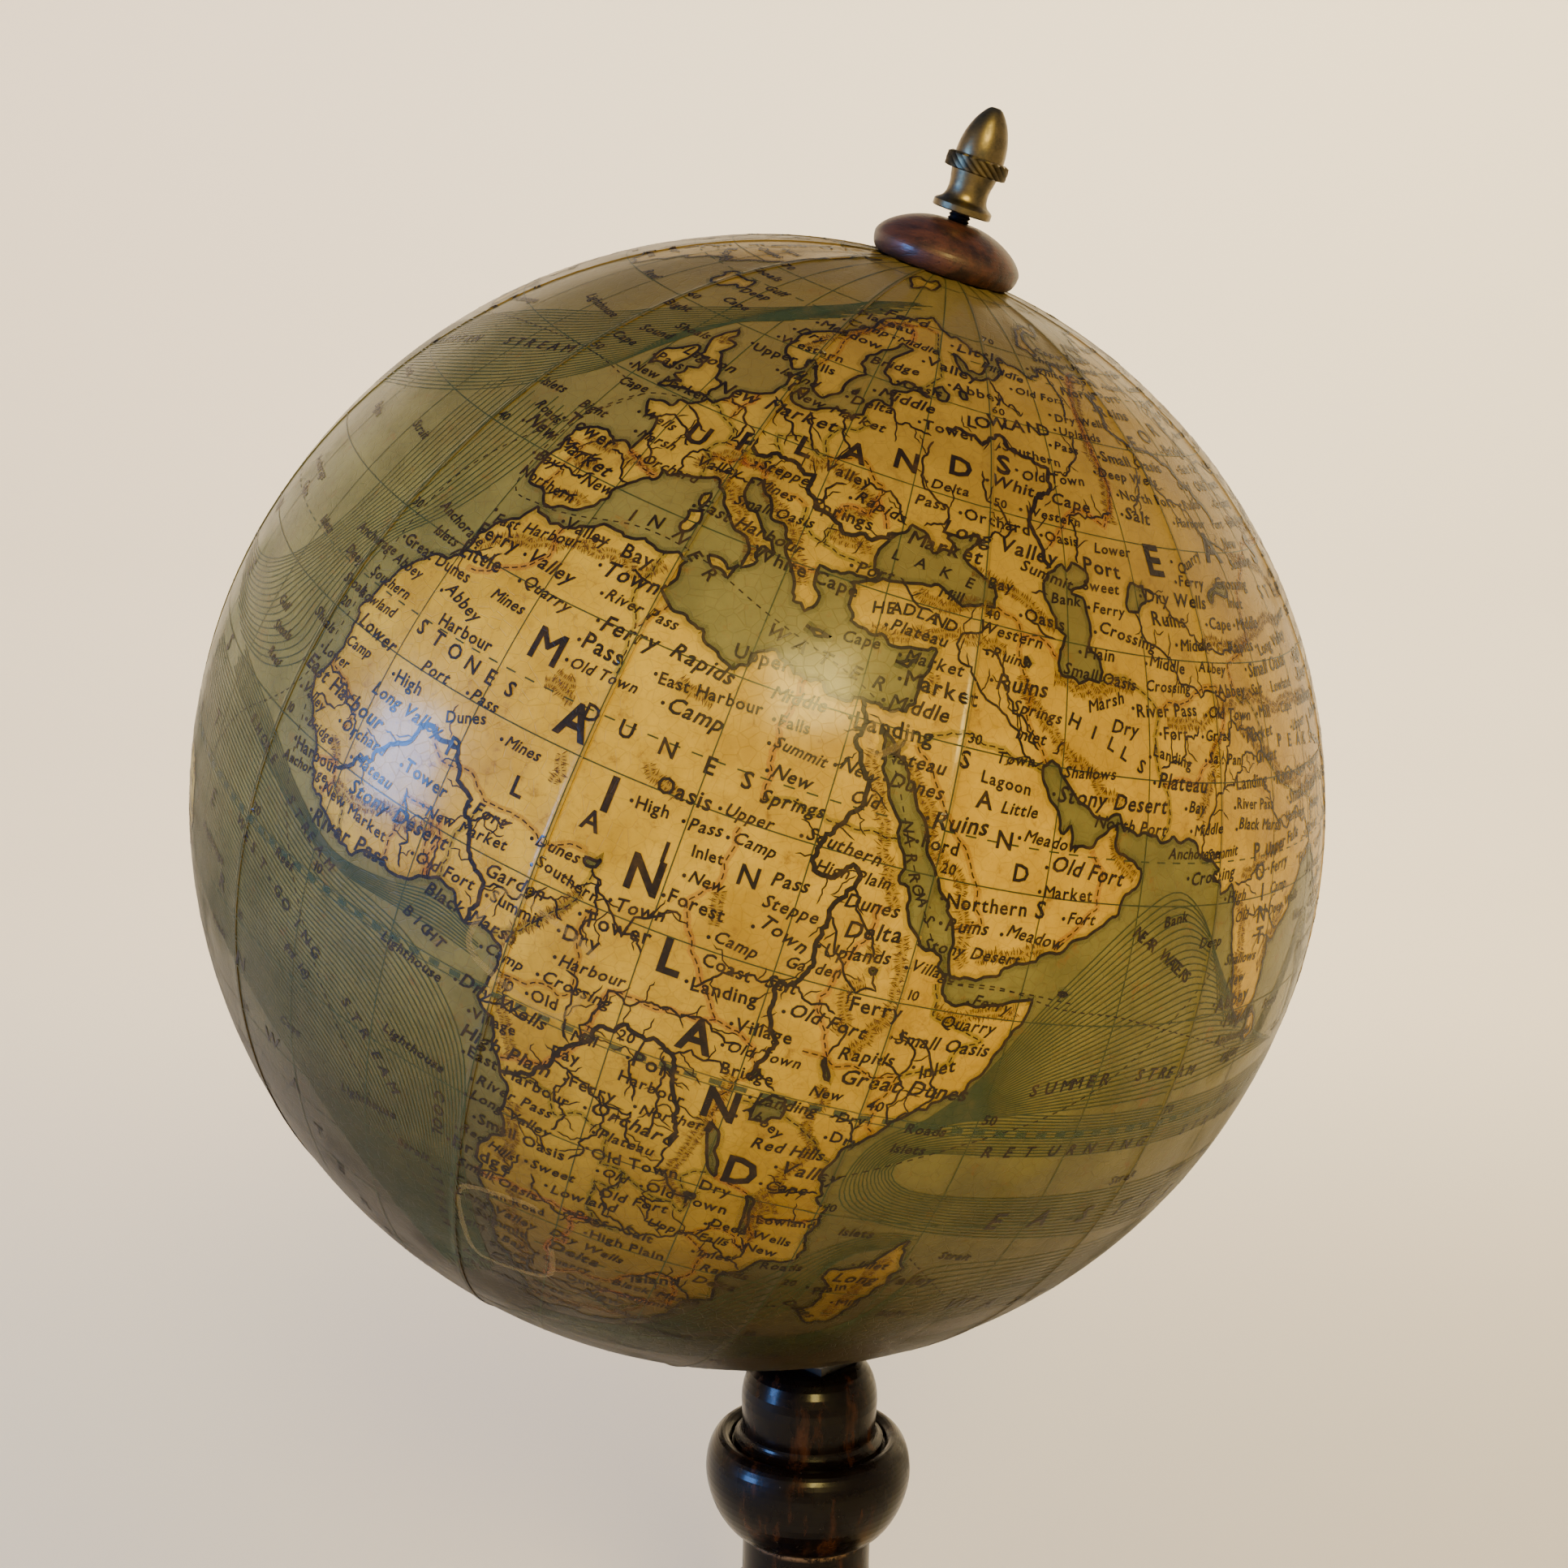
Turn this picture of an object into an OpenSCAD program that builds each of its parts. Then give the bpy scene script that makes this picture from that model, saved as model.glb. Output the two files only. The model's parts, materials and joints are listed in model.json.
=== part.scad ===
// Desk globe: a pasteboard ball covered with printed paper gores, turning on a
// steel rod that leans like the Earth's axis. A curved steel arm carries the
// rod from a turned column on a round foot. All sizes are in millimetres.
// Origin: on the column's axis, on the surface that the felt rests on.
// +Z is up, and the north pole leans towards +X.

/* [Ball] */
// Diameter of the ball over its paper
ball_d = 320; // [260:1:400]
// Lean of the axis from the vertical, in degrees
tilt = 23.5; // [18:0.5:30]
// Thickness of the paper gores and their varnish
paper_t = 0.4; // [0.3:0.1:0.8]
// Wall of the pasteboard shell
shell_t = 4.6; // [3:0.2:8]

/* [Pole blocks] */
// Radius of the wooden block glued inside each pole
hub_r = 18; // [14:0.5:26]
// Length of the wooden block along the axis
hub_l = 16; // [12:0.5:30]
// Wall of the brass bush's sleeve
bush_wall = 1.5; // [1:0.1:2.5]
// Width of the brass bush's flange round its sleeve
bush_flange_w = 2.5; // [1.5:0.1:4]
// Thickness of the brass bush's flange
bush_flange_t = 0.8; // [0.6:0.1:1.2]

/* [Axis rod] */
// Diameter of the steel rod
rod_d = 6; // [5:0.1:6.4]
// Pitch of the threads on the rod
thread_pitch = 1; // [0.8:0.1:1.25]
// Depth of the threads on the rod
thread_depth = 0.5; // [0.3:0.05:0.6]
// Width of the rod's collar
collar_w = 2.4; // [1.5:0.1:3.5]
// Thickness of the rod's collar
collar_t = 2; // [1.5:0.1:4]

/* [Arm] */
// Gap between the ball and the arm
arm_gap = 4; // [4:0.1:8]
// Thickness of the arm's flat bar
arm_t = 6; // [5:0.1:8]
// Width of the arm's flat bar
arm_w = 16; // [12:0.5:24]
// Wall of the arm's boss round the rod
boss_wall = 6; // [4:0.1:9]
// Length of the arm's boss
boss_l = 8; // [7:0.1:14]
// Distance from the ball's centre to the column's axis
column_offset = 25.5; // [10:0.5:30]

/* [Polar disc] */
// Diameter of the wooden disc on the north pole
disc_d = 39.8; // [30:0.2:56]
// Height of the wooden disc
disc_h = 12.8; // [9:0.1:18]

/* [Acorn finial] */
// Height of the brass acorn
acorn_h = 26.8; // [22:0.2:40]
// Radius of the acorn's foot
acorn_foot_r = 7.9; // [7:0.1:10]
// Radius of the acorn's knurled cup
cup_r = 7.8; // [7.2:0.1:10]
// Thread left showing under the acorn
thread_gap = 2.4; // [0.5:0.1:6]

/* [Column] */
// Height of the ball's centre above the table
ball_z = 365; // [330:1:440]
// Gap between the ball and the top of the neck
neck_gap = 3.5; // [3:0.1:8]
// Radius of the knop at its fullest
knop_r = 30.1; // [28:0.1:36]
// Radius of the cylinder under the knop
shaft_r = 18.8; // [17:0.2:20]
// Radius of the neck above the knop
neck_r = 20; // [19:0.1:21]
// Radius of the round tenons that join the turned pieces
tenon_r = 10; // [8:0.5:12]
// Length of the round tenons
tenon_l = 16; // [12:0.5:20]

/* [Foot] */
// Diameter of the foot
foot_d = 190; // [170:1:240]
// Height of the foot over the felt
foot_h = 48; // [42:1:60]
// Height of the foot's flat plinth
plinth_h = 12; // [8:0.5:16]
// Thickness of the felt
felt_t = 2; // [1:0.5:4]

/* [Tie bolt] */
// Diameter of the long bolt through the stand
bolt_d = 6; // [5:0.5:7]
// Radius of the washer under the foot
bolt_washer_r = 14; // [10:0.5:20]

/* [Hidden] */

ball_r = ball_d / 2;
rod_r = rod_d / 2;
bolt_r = bolt_d / 2;
eps = 0.01;                 // cut overshoot
hole_gap = 0.2;             // radial clearance of a bolt or tenon in its hole
run_gap = 0.05;             // clearance of the rod in a bush, and between faces that turn
disc_gap = 0.3;             // clearance between the polar disc and the paper

gore_count = 12;
gore_angle = 360 / gore_count;
prime_angle = -74.3;        // where longitude 0 stands round the axis at rest
first_seam = 10;            // longitude of the first seam

shell_r = ball_r - paper_t; // outside of the pasteboard
shell_in_r = shell_r - shell_t;
strip_w = 30;               // paper strip glued over the joint inside the ball
strip_t = 1;

bush_r = rod_r + run_gap + bush_wall;
bush_flange_r = bush_r + bush_flange_w;
pole_hole_r = bush_r + 0.1; // hole that the paper leaves at each pole

tack_r = 0.8;
tack_head_r = 1.8;
tack_head_t = 0.8;
tack_l = 13;
tack_count = 4;
tack_ring = (bush_flange_r + hub_r) / 2;
tack_top = sqrt(shell_r * shell_r - pow(tack_ring + tack_head_r, 2)) - 0.1;

// Places along the leaning axis, measured from the ball's centre
flange_out = ball_r + bush_flange_t;
washer_t = 1;               // leather washer under the ball
collar_top = flange_out + run_gap + washer_t;
boss_top = collar_top + collar_t;
boss_end = boss_top + boss_l;
rod_washer_t = 1.2;
rod_washer_r = rod_r + 3.4;
nut_af = rod_d / 0.6;       // across flats of the rod's nut
nut_t = 5;
tail_l = 3;                 // thread left showing under the nut
disc_low = ball_r - 0.8;
disc_top = disc_low + disc_h;
disc_hold = 3;              // length of thread inside the top of the disc
acorn_base = disc_top + thread_gap;
thread_hold = 13;           // length of thread inside the acorn

// Heights of the stand
arm_in_r = ball_r + arm_gap;
arm_out_r = arm_in_r + arm_t;
arm_end = 11.8;             // reach of the arm past the column's axis
knop_top = ball_z - sqrt(pow(ball_r + neck_gap, 2) - column_offset * column_offset);
knop_h = 51.8;              // from the neck's top to the shaft's shoulder
knop_base = knop_top - knop_h;
foot_top = felt_t + foot_h;
shaft_h = knop_base - foot_top;

bolt_af = bolt_d * 11 / 6;  // across flats of the tie bolt's nut
bolt_nut_t = 5.5;
bolt_washer_t = 2;
bolt_head_r = bolt_r + 3.2;
bolt_head_t = 3.4;
bolt_tail = 4;
bolt_top = ball_z - sqrt(pow(arm_in_r, 2) - pow(column_offset - bolt_head_r, 2)) - 0.2;
recess_r = bolt_washer_r + 4;
recess_h = 18;
recess_top = felt_t + recess_h;
bolt_end = recess_top - bolt_washer_t - bolt_nut_t - bolt_tail;

ebony = "#1c1412";
walnut = "#5b3423";
brass = "#9a8048";
steel = "#7d7d80";
black_iron = "#242426";
paper = "#c9ab62";
pasteboard = "#b59a72";

$fn = 96;

// Puts its children on the leaning axis, with the ball's centre at the origin
module leaning() {
  translate([-column_offset, 0, ball_z]) rotate([0, tilt, 0]) children();
}

// Points of an arc round [cx, cy] with half-widths rx and ry, from angle a0 to a1
function swell(cx, cy, rx, ry, a0, a1, n = 10) =
  [for (i = [0:n]) let(a = a0 + (a1 - a0) * i / n) [cx + rx * cos(a), cy + ry * sin(a)]];

// A solid turned from an outline of [radius, height] points between two heights
module turned(outline, z0, z1) {
  rotate_extrude() polygon(concat([[0, z1]], outline, [[0, z0]]));
}

// V threads on a rod of radius r from height z0 to z1
module threads(r, z0, z1) {
  turns = floor((z1 - z0) / thread_pitch);
  rotate_extrude()
    polygon(concat(
      [[0, z0]],
      [for (i = [0:turns - 1]) each [
        [r - thread_depth, z0 + i * thread_pitch],
        [r, z0 + (i + 0.5) * thread_pitch]
      ]],
      [[r - thread_depth, z0 + turns * thread_pitch], [0, z0 + turns * thread_pitch]]
    ));
}

module hexagon(af, h) {
  cylinder(r = af / 2 / cos(30), h = h, $fn = 6);
}

// ---- Stand -------------------------------------------------------------

module base_felt() {
  color("#3d4a35") cylinder(r = foot_d / 2 - 5, h = felt_t);
}

// Round foot: a plinth with a rounded edge, a hollow, and a bell up to the shaft
module foot() {
  rim = foot_d / 2;
  bell_r = foot_d * 0.36;
  collar = shaft_r + 9;
  collar_h = 6;
  edge = 6;                           // half the plinth's rounded edge
  cove_w = bell_r - collar - 1;
  cove_h = foot_h - plinth_h - collar_h - 6;
  color(ebony)
    difference() {
      turned(concat(
        [[collar - 2, foot_top], [collar, foot_top - 1.5]],
        [[collar, foot_top - collar_h + 1.5], [collar - 2, foot_top - collar_h]],
        swell(bell_r - 3, foot_top - collar_h, cove_w, cove_h, 180, 270, 12),
        swell(bell_r - 3, felt_t + plinth_h + 3, 3, 3, 90, -40, 6),
        [[bell_r + 4, felt_t + plinth_h]],
        swell(rim - edge, felt_t + plinth_h / 2, edge, plinth_h / 2, 90, -90, 10)
      ), felt_t, foot_top);
      translate([0, 0, foot_top - tenon_l - 1]) cylinder(r = tenon_r + hole_gap, h = tenon_l + 1 + eps);
      translate([0, 0, felt_t - eps]) cylinder(r = recess_r, h = recess_h + eps);
      cylinder(r = bolt_r + hole_gap, h = foot_top);
    }
}

// Lower column: a plain cylinder under the knop, two beads and a vase. Its heights keep their
// shares of the shaft's length.
module shaft() {
  k = shaft_h / 101.7;
  bead_r = shaft_r + 4;
  vase_r = shaft_r + 6;
  waist_r = shaft_r - 3;
  vase_foot_r = shaft_r - 6.6;        // the vase's narrow foot
  vase_turn = 2 * (vase_r - vase_foot_r);
  round = 3.5;                        // how far a bead stands out
  bead_h = 7 * k;
  lower_bead_z = foot_top + bead_h / 2;
  upper_bead_z = knop_base - 22 * k;
  vase_low = foot_top + bead_h + 2 * k;
  vase_high = upper_bead_z - bead_h / 2 - k;
  vase_z = vase_low + (vase_high - vase_low) * 0.38;
  color(ebony)
    difference() {
      union() {
        turned(concat(
          [[shaft_r, knop_base]],
          [[shaft_r, upper_bead_z + bead_h / 2 + 2 * k], [shaft_r - 1.2, upper_bead_z + bead_h / 2]],
          swell(bead_r - round, upper_bead_z, round, bead_h / 2, 90, -90, 8),
          [[waist_r, upper_bead_z - bead_h / 2], [waist_r, vase_high]],
          [for (i = [1:11]) let(t = i / 12)
            [waist_r + (vase_r - waist_r) * (1 - cos(180 * t)) / 2, vase_high + (vase_z - vase_high) * t]],
          swell(vase_r - vase_turn, vase_z, vase_turn, vase_z - vase_low, 0, -60, 7),
          [[waist_r + 3, vase_low], [waist_r + 3, lower_bead_z + bead_h / 2]],
          swell(bead_r + 2 - round, lower_bead_z, round, bead_h / 2, 90, -90, 8)
        ), foot_top, knop_base);
        translate([0, 0, foot_top - tenon_l]) cylinder(r = tenon_r, h = tenon_l + 1);
        translate([0, 0, knop_base - 1]) cylinder(r = tenon_r, h = tenon_l + 1);
      }
      translate([0, 0, foot_top - tenon_l - eps])
        cylinder(r = bolt_r + hole_gap, h = shaft_h + 2 * tenon_l + 2 * eps);
    }
}

// Upper column: a full round knop, a groove, a small lip and the neck's dome
module knop() {
  z = knop_top;
  foot_r = neck_r - 0.5;              // neck where it meets the cove
  groove_r = neck_r + 2;
  shoulder_r = 2.8;                   // rounding between the groove and the knop
  shoulder_x = groove_r + 0.5 + shoulder_r;
  belly_z = z - 33.5;                 // height of the knop's fullest part
  lower_rx = knop_r - shaft_r - 0.15;
  color(ebony)
    difference() {
      turned(concat(
        swell(neck_r - 8, z - 12.5, 8, 12.5, 75, 0, 7),
        swell(foot_r + 2.6, z - 21.2, 2.6, 2.6, 180, 265, 6),
        [[groove_r - 0.1, z - 24.3], [groove_r - 0.3, z - 25], [groove_r, z - 25.9]],
        swell(shoulder_x, z - 23.2 - shoulder_r, shoulder_r, shoulder_r, 175, 90, 5),
        swell(shoulder_x, belly_z, knop_r - shoulder_x, z - 23.2 - belly_z, 82, 0, 9),
        [for (i = [1:12]) let(a = 90 * i / 12)
          [shaft_r + 0.15 + lower_rx * pow(cos(a), 1.2), belly_z - (belly_z - knop_base) * pow(sin(a), 1.2)]]
      ), knop_base, knop_top);
      translate([0, 0, knop_base - eps]) cylinder(r = tenon_r + hole_gap, h = tenon_l + 1);
      translate([0, 0, knop_base]) cylinder(r = bolt_r + hole_gap, h = knop_h + eps);
      // The slot that the arm is let into
      translate([-column_offset, 0, ball_z]) rotate([90, 0, 0])
        translate([0, 0, -arm_w / 2 - 0.1])
          linear_extrude(arm_w + 0.2)
            intersection() {
              circle(r = arm_out_r, $fn = 180);
              translate([-column_offset, -2 * ball_r])
                square([2 * column_offset + arm_end + 0.2, 2 * ball_r]);
            }
    }
}

// Curved flat bar from the column's top to the south pole, with a boss for the rod
module arm() {
  color(black_iron)
    difference() {
      union() {
        translate([-column_offset, 0, ball_z]) rotate([90, 0, 0])
          intersection() {
            difference() {
              cylinder(r = arm_out_r, h = arm_w, center = true, $fn = 180);
              cylinder(r = arm_in_r, h = arm_w + 1, center = true, $fn = 180);
            }
            translate([0, 0, -arm_w])
              linear_extrude(2 * arm_w)
                polygon([
                  [0, 0],
                  2 * ball_r * [-sin(tilt), -cos(tilt)],
                  [column_offset + arm_end, -2 * ball_r],
                  [column_offset + arm_end, 0]
                ]);
          }
        leaning() translate([0, 0, -boss_end]) cylinder(r = rod_r + boss_wall, h = boss_l);
      }
      cylinder(r = bolt_r + hole_gap, h = ball_z);
      translate([0, 0, bolt_top - bolt_head_t])
        cylinder(r1 = bolt_r + hole_gap, r2 = bolt_head_r + hole_gap, h = bolt_head_t);
      translate([0, 0, bolt_top]) cylinder(r = bolt_head_r + hole_gap, h = 6);
      leaning() translate([0, 0, -boss_end - eps]) cylinder(r = rod_r + run_gap, h = boss_l + 2 * eps);
    }
}

module tie_bolt() {
  color(steel)
    difference() {
      union() {
        translate([0, 0, bolt_end]) cylinder(r = bolt_r, h = bolt_top - bolt_head_t - bolt_end);
        translate([0, 0, bolt_top - bolt_head_t]) cylinder(r1 = bolt_r, r2 = bolt_head_r, h = bolt_head_t);
      }
      translate([-bolt_head_r - 1, -0.8, bolt_top - 1.5]) cube([2 * bolt_head_r + 2, 1.6, 2]);
    }
}

module tie_washer() {
  color(steel)
    translate([0, 0, recess_top - bolt_washer_t])
      difference() {
        cylinder(r = bolt_washer_r, h = bolt_washer_t);
        translate([0, 0, -1]) cylinder(r = bolt_r + hole_gap, h = bolt_washer_t + 2);
      }
}

module tie_nut() {
  color(steel)
    translate([0, 0, recess_top - bolt_washer_t - bolt_nut_t])
      difference() {
        hexagon(bolt_af, bolt_nut_t);
        translate([0, 0, -1]) cylinder(r = bolt_r, h = bolt_nut_t + 2);
      }
}

// ---- Axis --------------------------------------------------------------

module axis_rod() {
  thread_low = -boss_end;
  thread_high = disc_top - disc_hold;
  tail = ceil((rod_washer_t + nut_t + tail_l) / thread_pitch) * thread_pitch;
  color(steel)
    leaning() {
      union() {
        translate([0, 0, thread_low]) cylinder(r = rod_r, h = thread_high - thread_low);
        translate([0, 0, -boss_top]) cylinder(r = rod_r + collar_w, h = collar_t);
        threads(rod_r, thread_low - tail, thread_low);
        threads(rod_r, thread_high, acorn_base + thread_hold);
      }
    }
}

module rod_washer() {
  color(steel)
    leaning() translate([0, 0, -boss_end - rod_washer_t])
      difference() {
        cylinder(r = rod_washer_r, h = rod_washer_t);
        translate([0, 0, -1]) cylinder(r = rod_r + hole_gap, h = rod_washer_t + 2);
      }
}

module rod_nut() {
  color(steel)
    leaning() translate([0, 0, -boss_end - rod_washer_t - nut_t])
      difference() {
        hexagon(nut_af, nut_t);
        translate([0, 0, -1]) cylinder(r = rod_r, h = nut_t + 2);
      }
}

module thrust_washer() {
  color(walnut)
    leaning() translate([0, 0, -collar_top])
      difference() {
        cylinder(r = bush_flange_r, h = washer_t);
        translate([0, 0, -1]) cylinder(r = rod_r + run_gap, h = washer_t + 2);
      }
}

// ---- Ball --------------------------------------------------------------

// Places its children at each tack of the north pole
module at_tacks() {
  for (i = [0:tack_count - 1])
    rotate([0, 0, 45 + i * 360 / tack_count]) translate([tack_ring, 0, tack_top]) children();
}

module tack_ring_solid() {
  at_tacks()
    mirror([0, 0, 1]) {
      cylinder(r = tack_head_r, h = tack_head_t);
      cylinder(r = tack_r, h = tack_l);
    }
}

// Half of the pasteboard ball, with pockets that the tacks' heads lie in
module half_shell() {
  color(pasteboard)
    difference() {
      intersection() {
        sphere(r = shell_r);
        cylinder(r = ball_r, h = ball_r);
      }
      sphere(r = shell_in_r);
      cylinder(r = bush_r, h = ball_r);
      tack_ring_solid();
      at_tacks() translate([0, 0, -0.1]) cylinder(r = tack_head_r, h = 3);
    }
}

module north_shell() {
  leaning() half_shell();
}

module south_shell() {
  leaning() mirror([0, 0, 1]) half_shell();
}

module equator_strip() {
  color(paper)
    leaning()
      difference() {
        intersection() {
          sphere(r = shell_in_r);
          cylinder(r = ball_r, h = strip_w, center = true);
        }
        sphere(r = shell_in_r - strip_t);
      }
}

module hub() {
  color("#a98a5c")
    difference() {
      intersection() {
        sphere(r = shell_in_r);
        translate([0, 0, shell_in_r - hub_l]) cylinder(r = hub_r, h = hub_l + 1);
      }
      cylinder(r = bush_r, h = ball_r);
      tack_ring_solid();
    }
}

module north_hub() {
  leaning() hub();
}

module south_hub() {
  leaning() mirror([0, 0, 1]) hub();
}

module bush() {
  color(brass)
    difference() {
      union() {
        translate([0, 0, shell_in_r - hub_l]) cylinder(r = bush_r, h = ball_r - shell_in_r + hub_l);
        translate([0, 0, ball_r]) cylinder(r = bush_flange_r, h = bush_flange_t);
      }
      translate([0, 0, shell_in_r - hub_l - 1]) cylinder(r = rod_r + run_gap, h = ball_r);
    }
}

module north_bush() {
  leaning() bush();
}

module south_bush() {
  leaning() mirror([0, 0, 1]) bush();
}

module north_tacks() {
  color(steel) leaning() tack_ring_solid();
}

module south_tacks() {
  color(steel) leaning() mirror([0, 0, 1]) tack_ring_solid();
}

// One printed gore: a lune of paper from pole to pole
module gore(i) {
  color(paper)
    leaning()
      rotate([0, 0, prime_angle + first_seam + (i - 1) * gore_angle])
        intersection() {
          difference() {
            sphere(r = ball_r);
            sphere(r = shell_r);
            translate([0, 0, -ball_d]) cylinder(r = pole_hole_r, h = 2 * ball_d);
          }
          translate([0, 0, -ball_d])
            linear_extrude(2 * ball_d)
              polygon([
                [0, 0],
                [ball_d, 0],
                ball_d * [cos(gore_angle), sin(gore_angle)]
              ]);
        }
}

// ---- Polar disc and finial ----------------------------------------------

module polar_disc() {
  r = disc_d / 2;
  flat_r = rod_r + 2;                 // flat round the hole
  widest = disc_top - disc_h * 0.65;  // height of the rim
  under = 2.6;                        // how far the underside draws in
  color(walnut)
    leaning()
      difference() {
        turned(concat(
          [for (i = [0:14]) let(a = 90 - 90 * i / 14)
            [flat_r + (r - flat_r) * pow(cos(a), 1.25), widest + (disc_top - widest) * pow(sin(a), 1.25)]],
          swell(r - under, widest, under, widest - disc_low, -12, -78, 7)
        ), disc_low, disc_top);
        sphere(r = ball_r + disc_gap);
        cylinder(r = rod_r + run_gap, h = disc_top + 1);
        cylinder(r = bush_flange_r + 1, h = flange_out + 0.4);
      }
}

// Brass acorn nut: a foot, a waist, a cup and the kernel with its blunt tip
module acorn_finial() {
  k = acorn_h / 26.8;                 // the acorn's proportions at its first height
  stem_r = 5.4;
  kernel_r = cup_r - 1.3;
  cup_low = 10.2 * k;
  cup_high = 14.2 * k;
  color(brass)
    leaning() translate([0, 0, acorn_base])
      difference() {
        turned(concat(
          [[1.1, acorn_h], [1.9, acorn_h - 0.4 * k]],
          [for (p = [[0.45, 25.4], [0.6, 24.1], [0.7, 22.8], [0.84, 20.4], [0.94, 17.6], [1, 14.9]])
            [p[0] * kernel_r, p[1] * k]],
          [[kernel_r, cup_high], [cup_r - 0.3, cup_high], [cup_r, cup_high - 0.4]],
          [[cup_r, cup_low + 0.4], [cup_r - 0.3, cup_low], [stem_r + 0.75, cup_low]],
          [[stem_r + 0.5, 8.6 * k], [stem_r + 0.1, 7 * k], [stem_r, 5.6 * k], [stem_r + 0.1, 4.4 * k]],
          [[stem_r + 0.5, 3.4 * k], [stem_r + 1.3, 2.6 * k]],
          [[acorn_foot_r - 0.4, 2.1 * k], [acorn_foot_r, 1.7 * k]],
          [[acorn_foot_r, 0.3], [acorn_foot_r - 0.3, 0]]
        ), 0, acorn_h);
        translate([0, 0, -eps]) cylinder(r = rod_r + run_gap, h = thread_hold + 1);
      }
}

base_felt();
foot();
shaft();
knop();
arm();
tie_bolt();
tie_washer();
tie_nut();
axis_rod();
rod_washer();
rod_nut();
thrust_washer();
north_shell();
south_shell();
equator_strip();
north_hub();
south_hub();
north_bush();
south_bush();
north_tacks();
south_tacks();
gore(1);  // gore_01
gore(2);  // gore_02
gore(3);  // gore_03
gore(4);  // gore_04
gore(5);  // gore_05
gore(6);  // gore_06
gore(7);  // gore_07
gore(8);  // gore_08
gore(9);  // gore_09
gore(10);  // gore_10
gore(11);  // gore_11
gore(12);  // gore_12
polar_disc();
acorn_finial();
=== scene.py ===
import json
import math
import bpy
import numpy as np
from mathutils import Matrix, Vector
from mathutils.geometry import delaunay_2d_cdt


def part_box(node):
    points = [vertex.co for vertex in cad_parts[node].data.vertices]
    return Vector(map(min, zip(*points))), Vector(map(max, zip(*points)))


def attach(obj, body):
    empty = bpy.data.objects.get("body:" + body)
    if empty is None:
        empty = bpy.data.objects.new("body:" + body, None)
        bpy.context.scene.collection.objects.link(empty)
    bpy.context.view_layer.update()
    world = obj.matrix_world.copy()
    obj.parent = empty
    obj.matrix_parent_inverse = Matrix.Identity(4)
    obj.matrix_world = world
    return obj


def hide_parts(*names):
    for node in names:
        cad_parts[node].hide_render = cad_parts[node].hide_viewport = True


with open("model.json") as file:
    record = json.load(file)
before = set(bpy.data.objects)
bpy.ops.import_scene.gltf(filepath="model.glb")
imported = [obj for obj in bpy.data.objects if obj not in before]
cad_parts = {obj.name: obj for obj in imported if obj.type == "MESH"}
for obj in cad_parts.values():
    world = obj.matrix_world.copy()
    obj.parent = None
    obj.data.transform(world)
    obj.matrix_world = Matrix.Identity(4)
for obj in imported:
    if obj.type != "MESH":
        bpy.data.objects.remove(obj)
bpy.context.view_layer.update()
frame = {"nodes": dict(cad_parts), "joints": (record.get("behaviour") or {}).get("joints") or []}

# The eye stands a little above the middle of the ball and to the right of its front, near enough
# for the ball to fill the view. The lower column and the foot run out of the bottom of the frame.
eye = bpy.data.objects.new("eye", bpy.data.cameras.new("eye"))
bpy.context.scene.collection.objects.link(eye)
eye.data.lens = 40.9
eye.data.sensor_width = 36
eye.data.clip_start = 0.01
eye_right = (0.71755, 0.69619, 0.02086)
eye_up = (-0.07803, 0.05060, 0.99567)
eye_back = (0.69212, -0.71607, 0.09063)
eye.matrix_world = Matrix((eye_right, eye_up, eye_back)).transposed().to_4x4()
eye.location = (0.3437, -0.3718, 0.4179)
bpy.context.scene.camera = eye

# Twelve printed paper gores, pasted edge over edge on the shells and varnished. Every gore covers
# 30 degrees of longitude from pole to pole, and its east edge laps a little over the next one.
spin = next(joint for joint in frame["joints"] if joint["name"] == "ball_spin")
ball_centre = Vector(spin["pos_m"])
pole = Vector(spin["axis"]).normalized()
tilted_x = Vector((pole.z, 0, -pole.x))
tilted_y = pole.cross(tilted_x)
GORES = [f"gore_{n:02d}" for n in range(1, 13)]
gore_boxes = [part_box(name) for name in GORES]
ball_r = (max(high[2] for low, high in gore_boxes) - min(low[2] for low, high in gore_boxes)) / 2
prime_angle = -74.3
first_seam = 10
lap_width = 0.0009
lap_rise = 0.0003
paper_thick = 0.0003
pole_hole = 0.0046


def on_ball(lon, lat, lift=0.0):
    """Points on the printed surface, from degrees east and north. They rise at a lap."""
    lon, lat = np.asarray(lon, float), np.asarray(lat, float)
    past = (lon - first_seam) % 30
    millimetre = np.degrees(0.001 / (ball_r * np.maximum(np.cos(np.radians(lat)), 0.02)))
    before = np.clip(1 - (30 - past) / (1.4 * millimetre), 0, 1)
    lap = np.where(past < lap_width * 1000 * millimetre, 1.0, before * before * (3 - 2 * before))
    turn, rise = np.radians(lon + prime_angle), np.radians(lat)
    r = ball_r + lift + lap_rise * lap
    a, b, c = r * np.cos(rise) * np.cos(turn), r * np.cos(rise) * np.sin(turn), r * np.sin(rise)
    return np.array(ball_centre) + np.stack([a, b, c], -1) @ np.array([tilted_x, tilted_y, pole])


def places(text):
    """A list of places, written as pairs of degrees east and north."""
    return np.array([[float(x) for x in pair.split(",")] for pair in text.split()])


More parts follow.
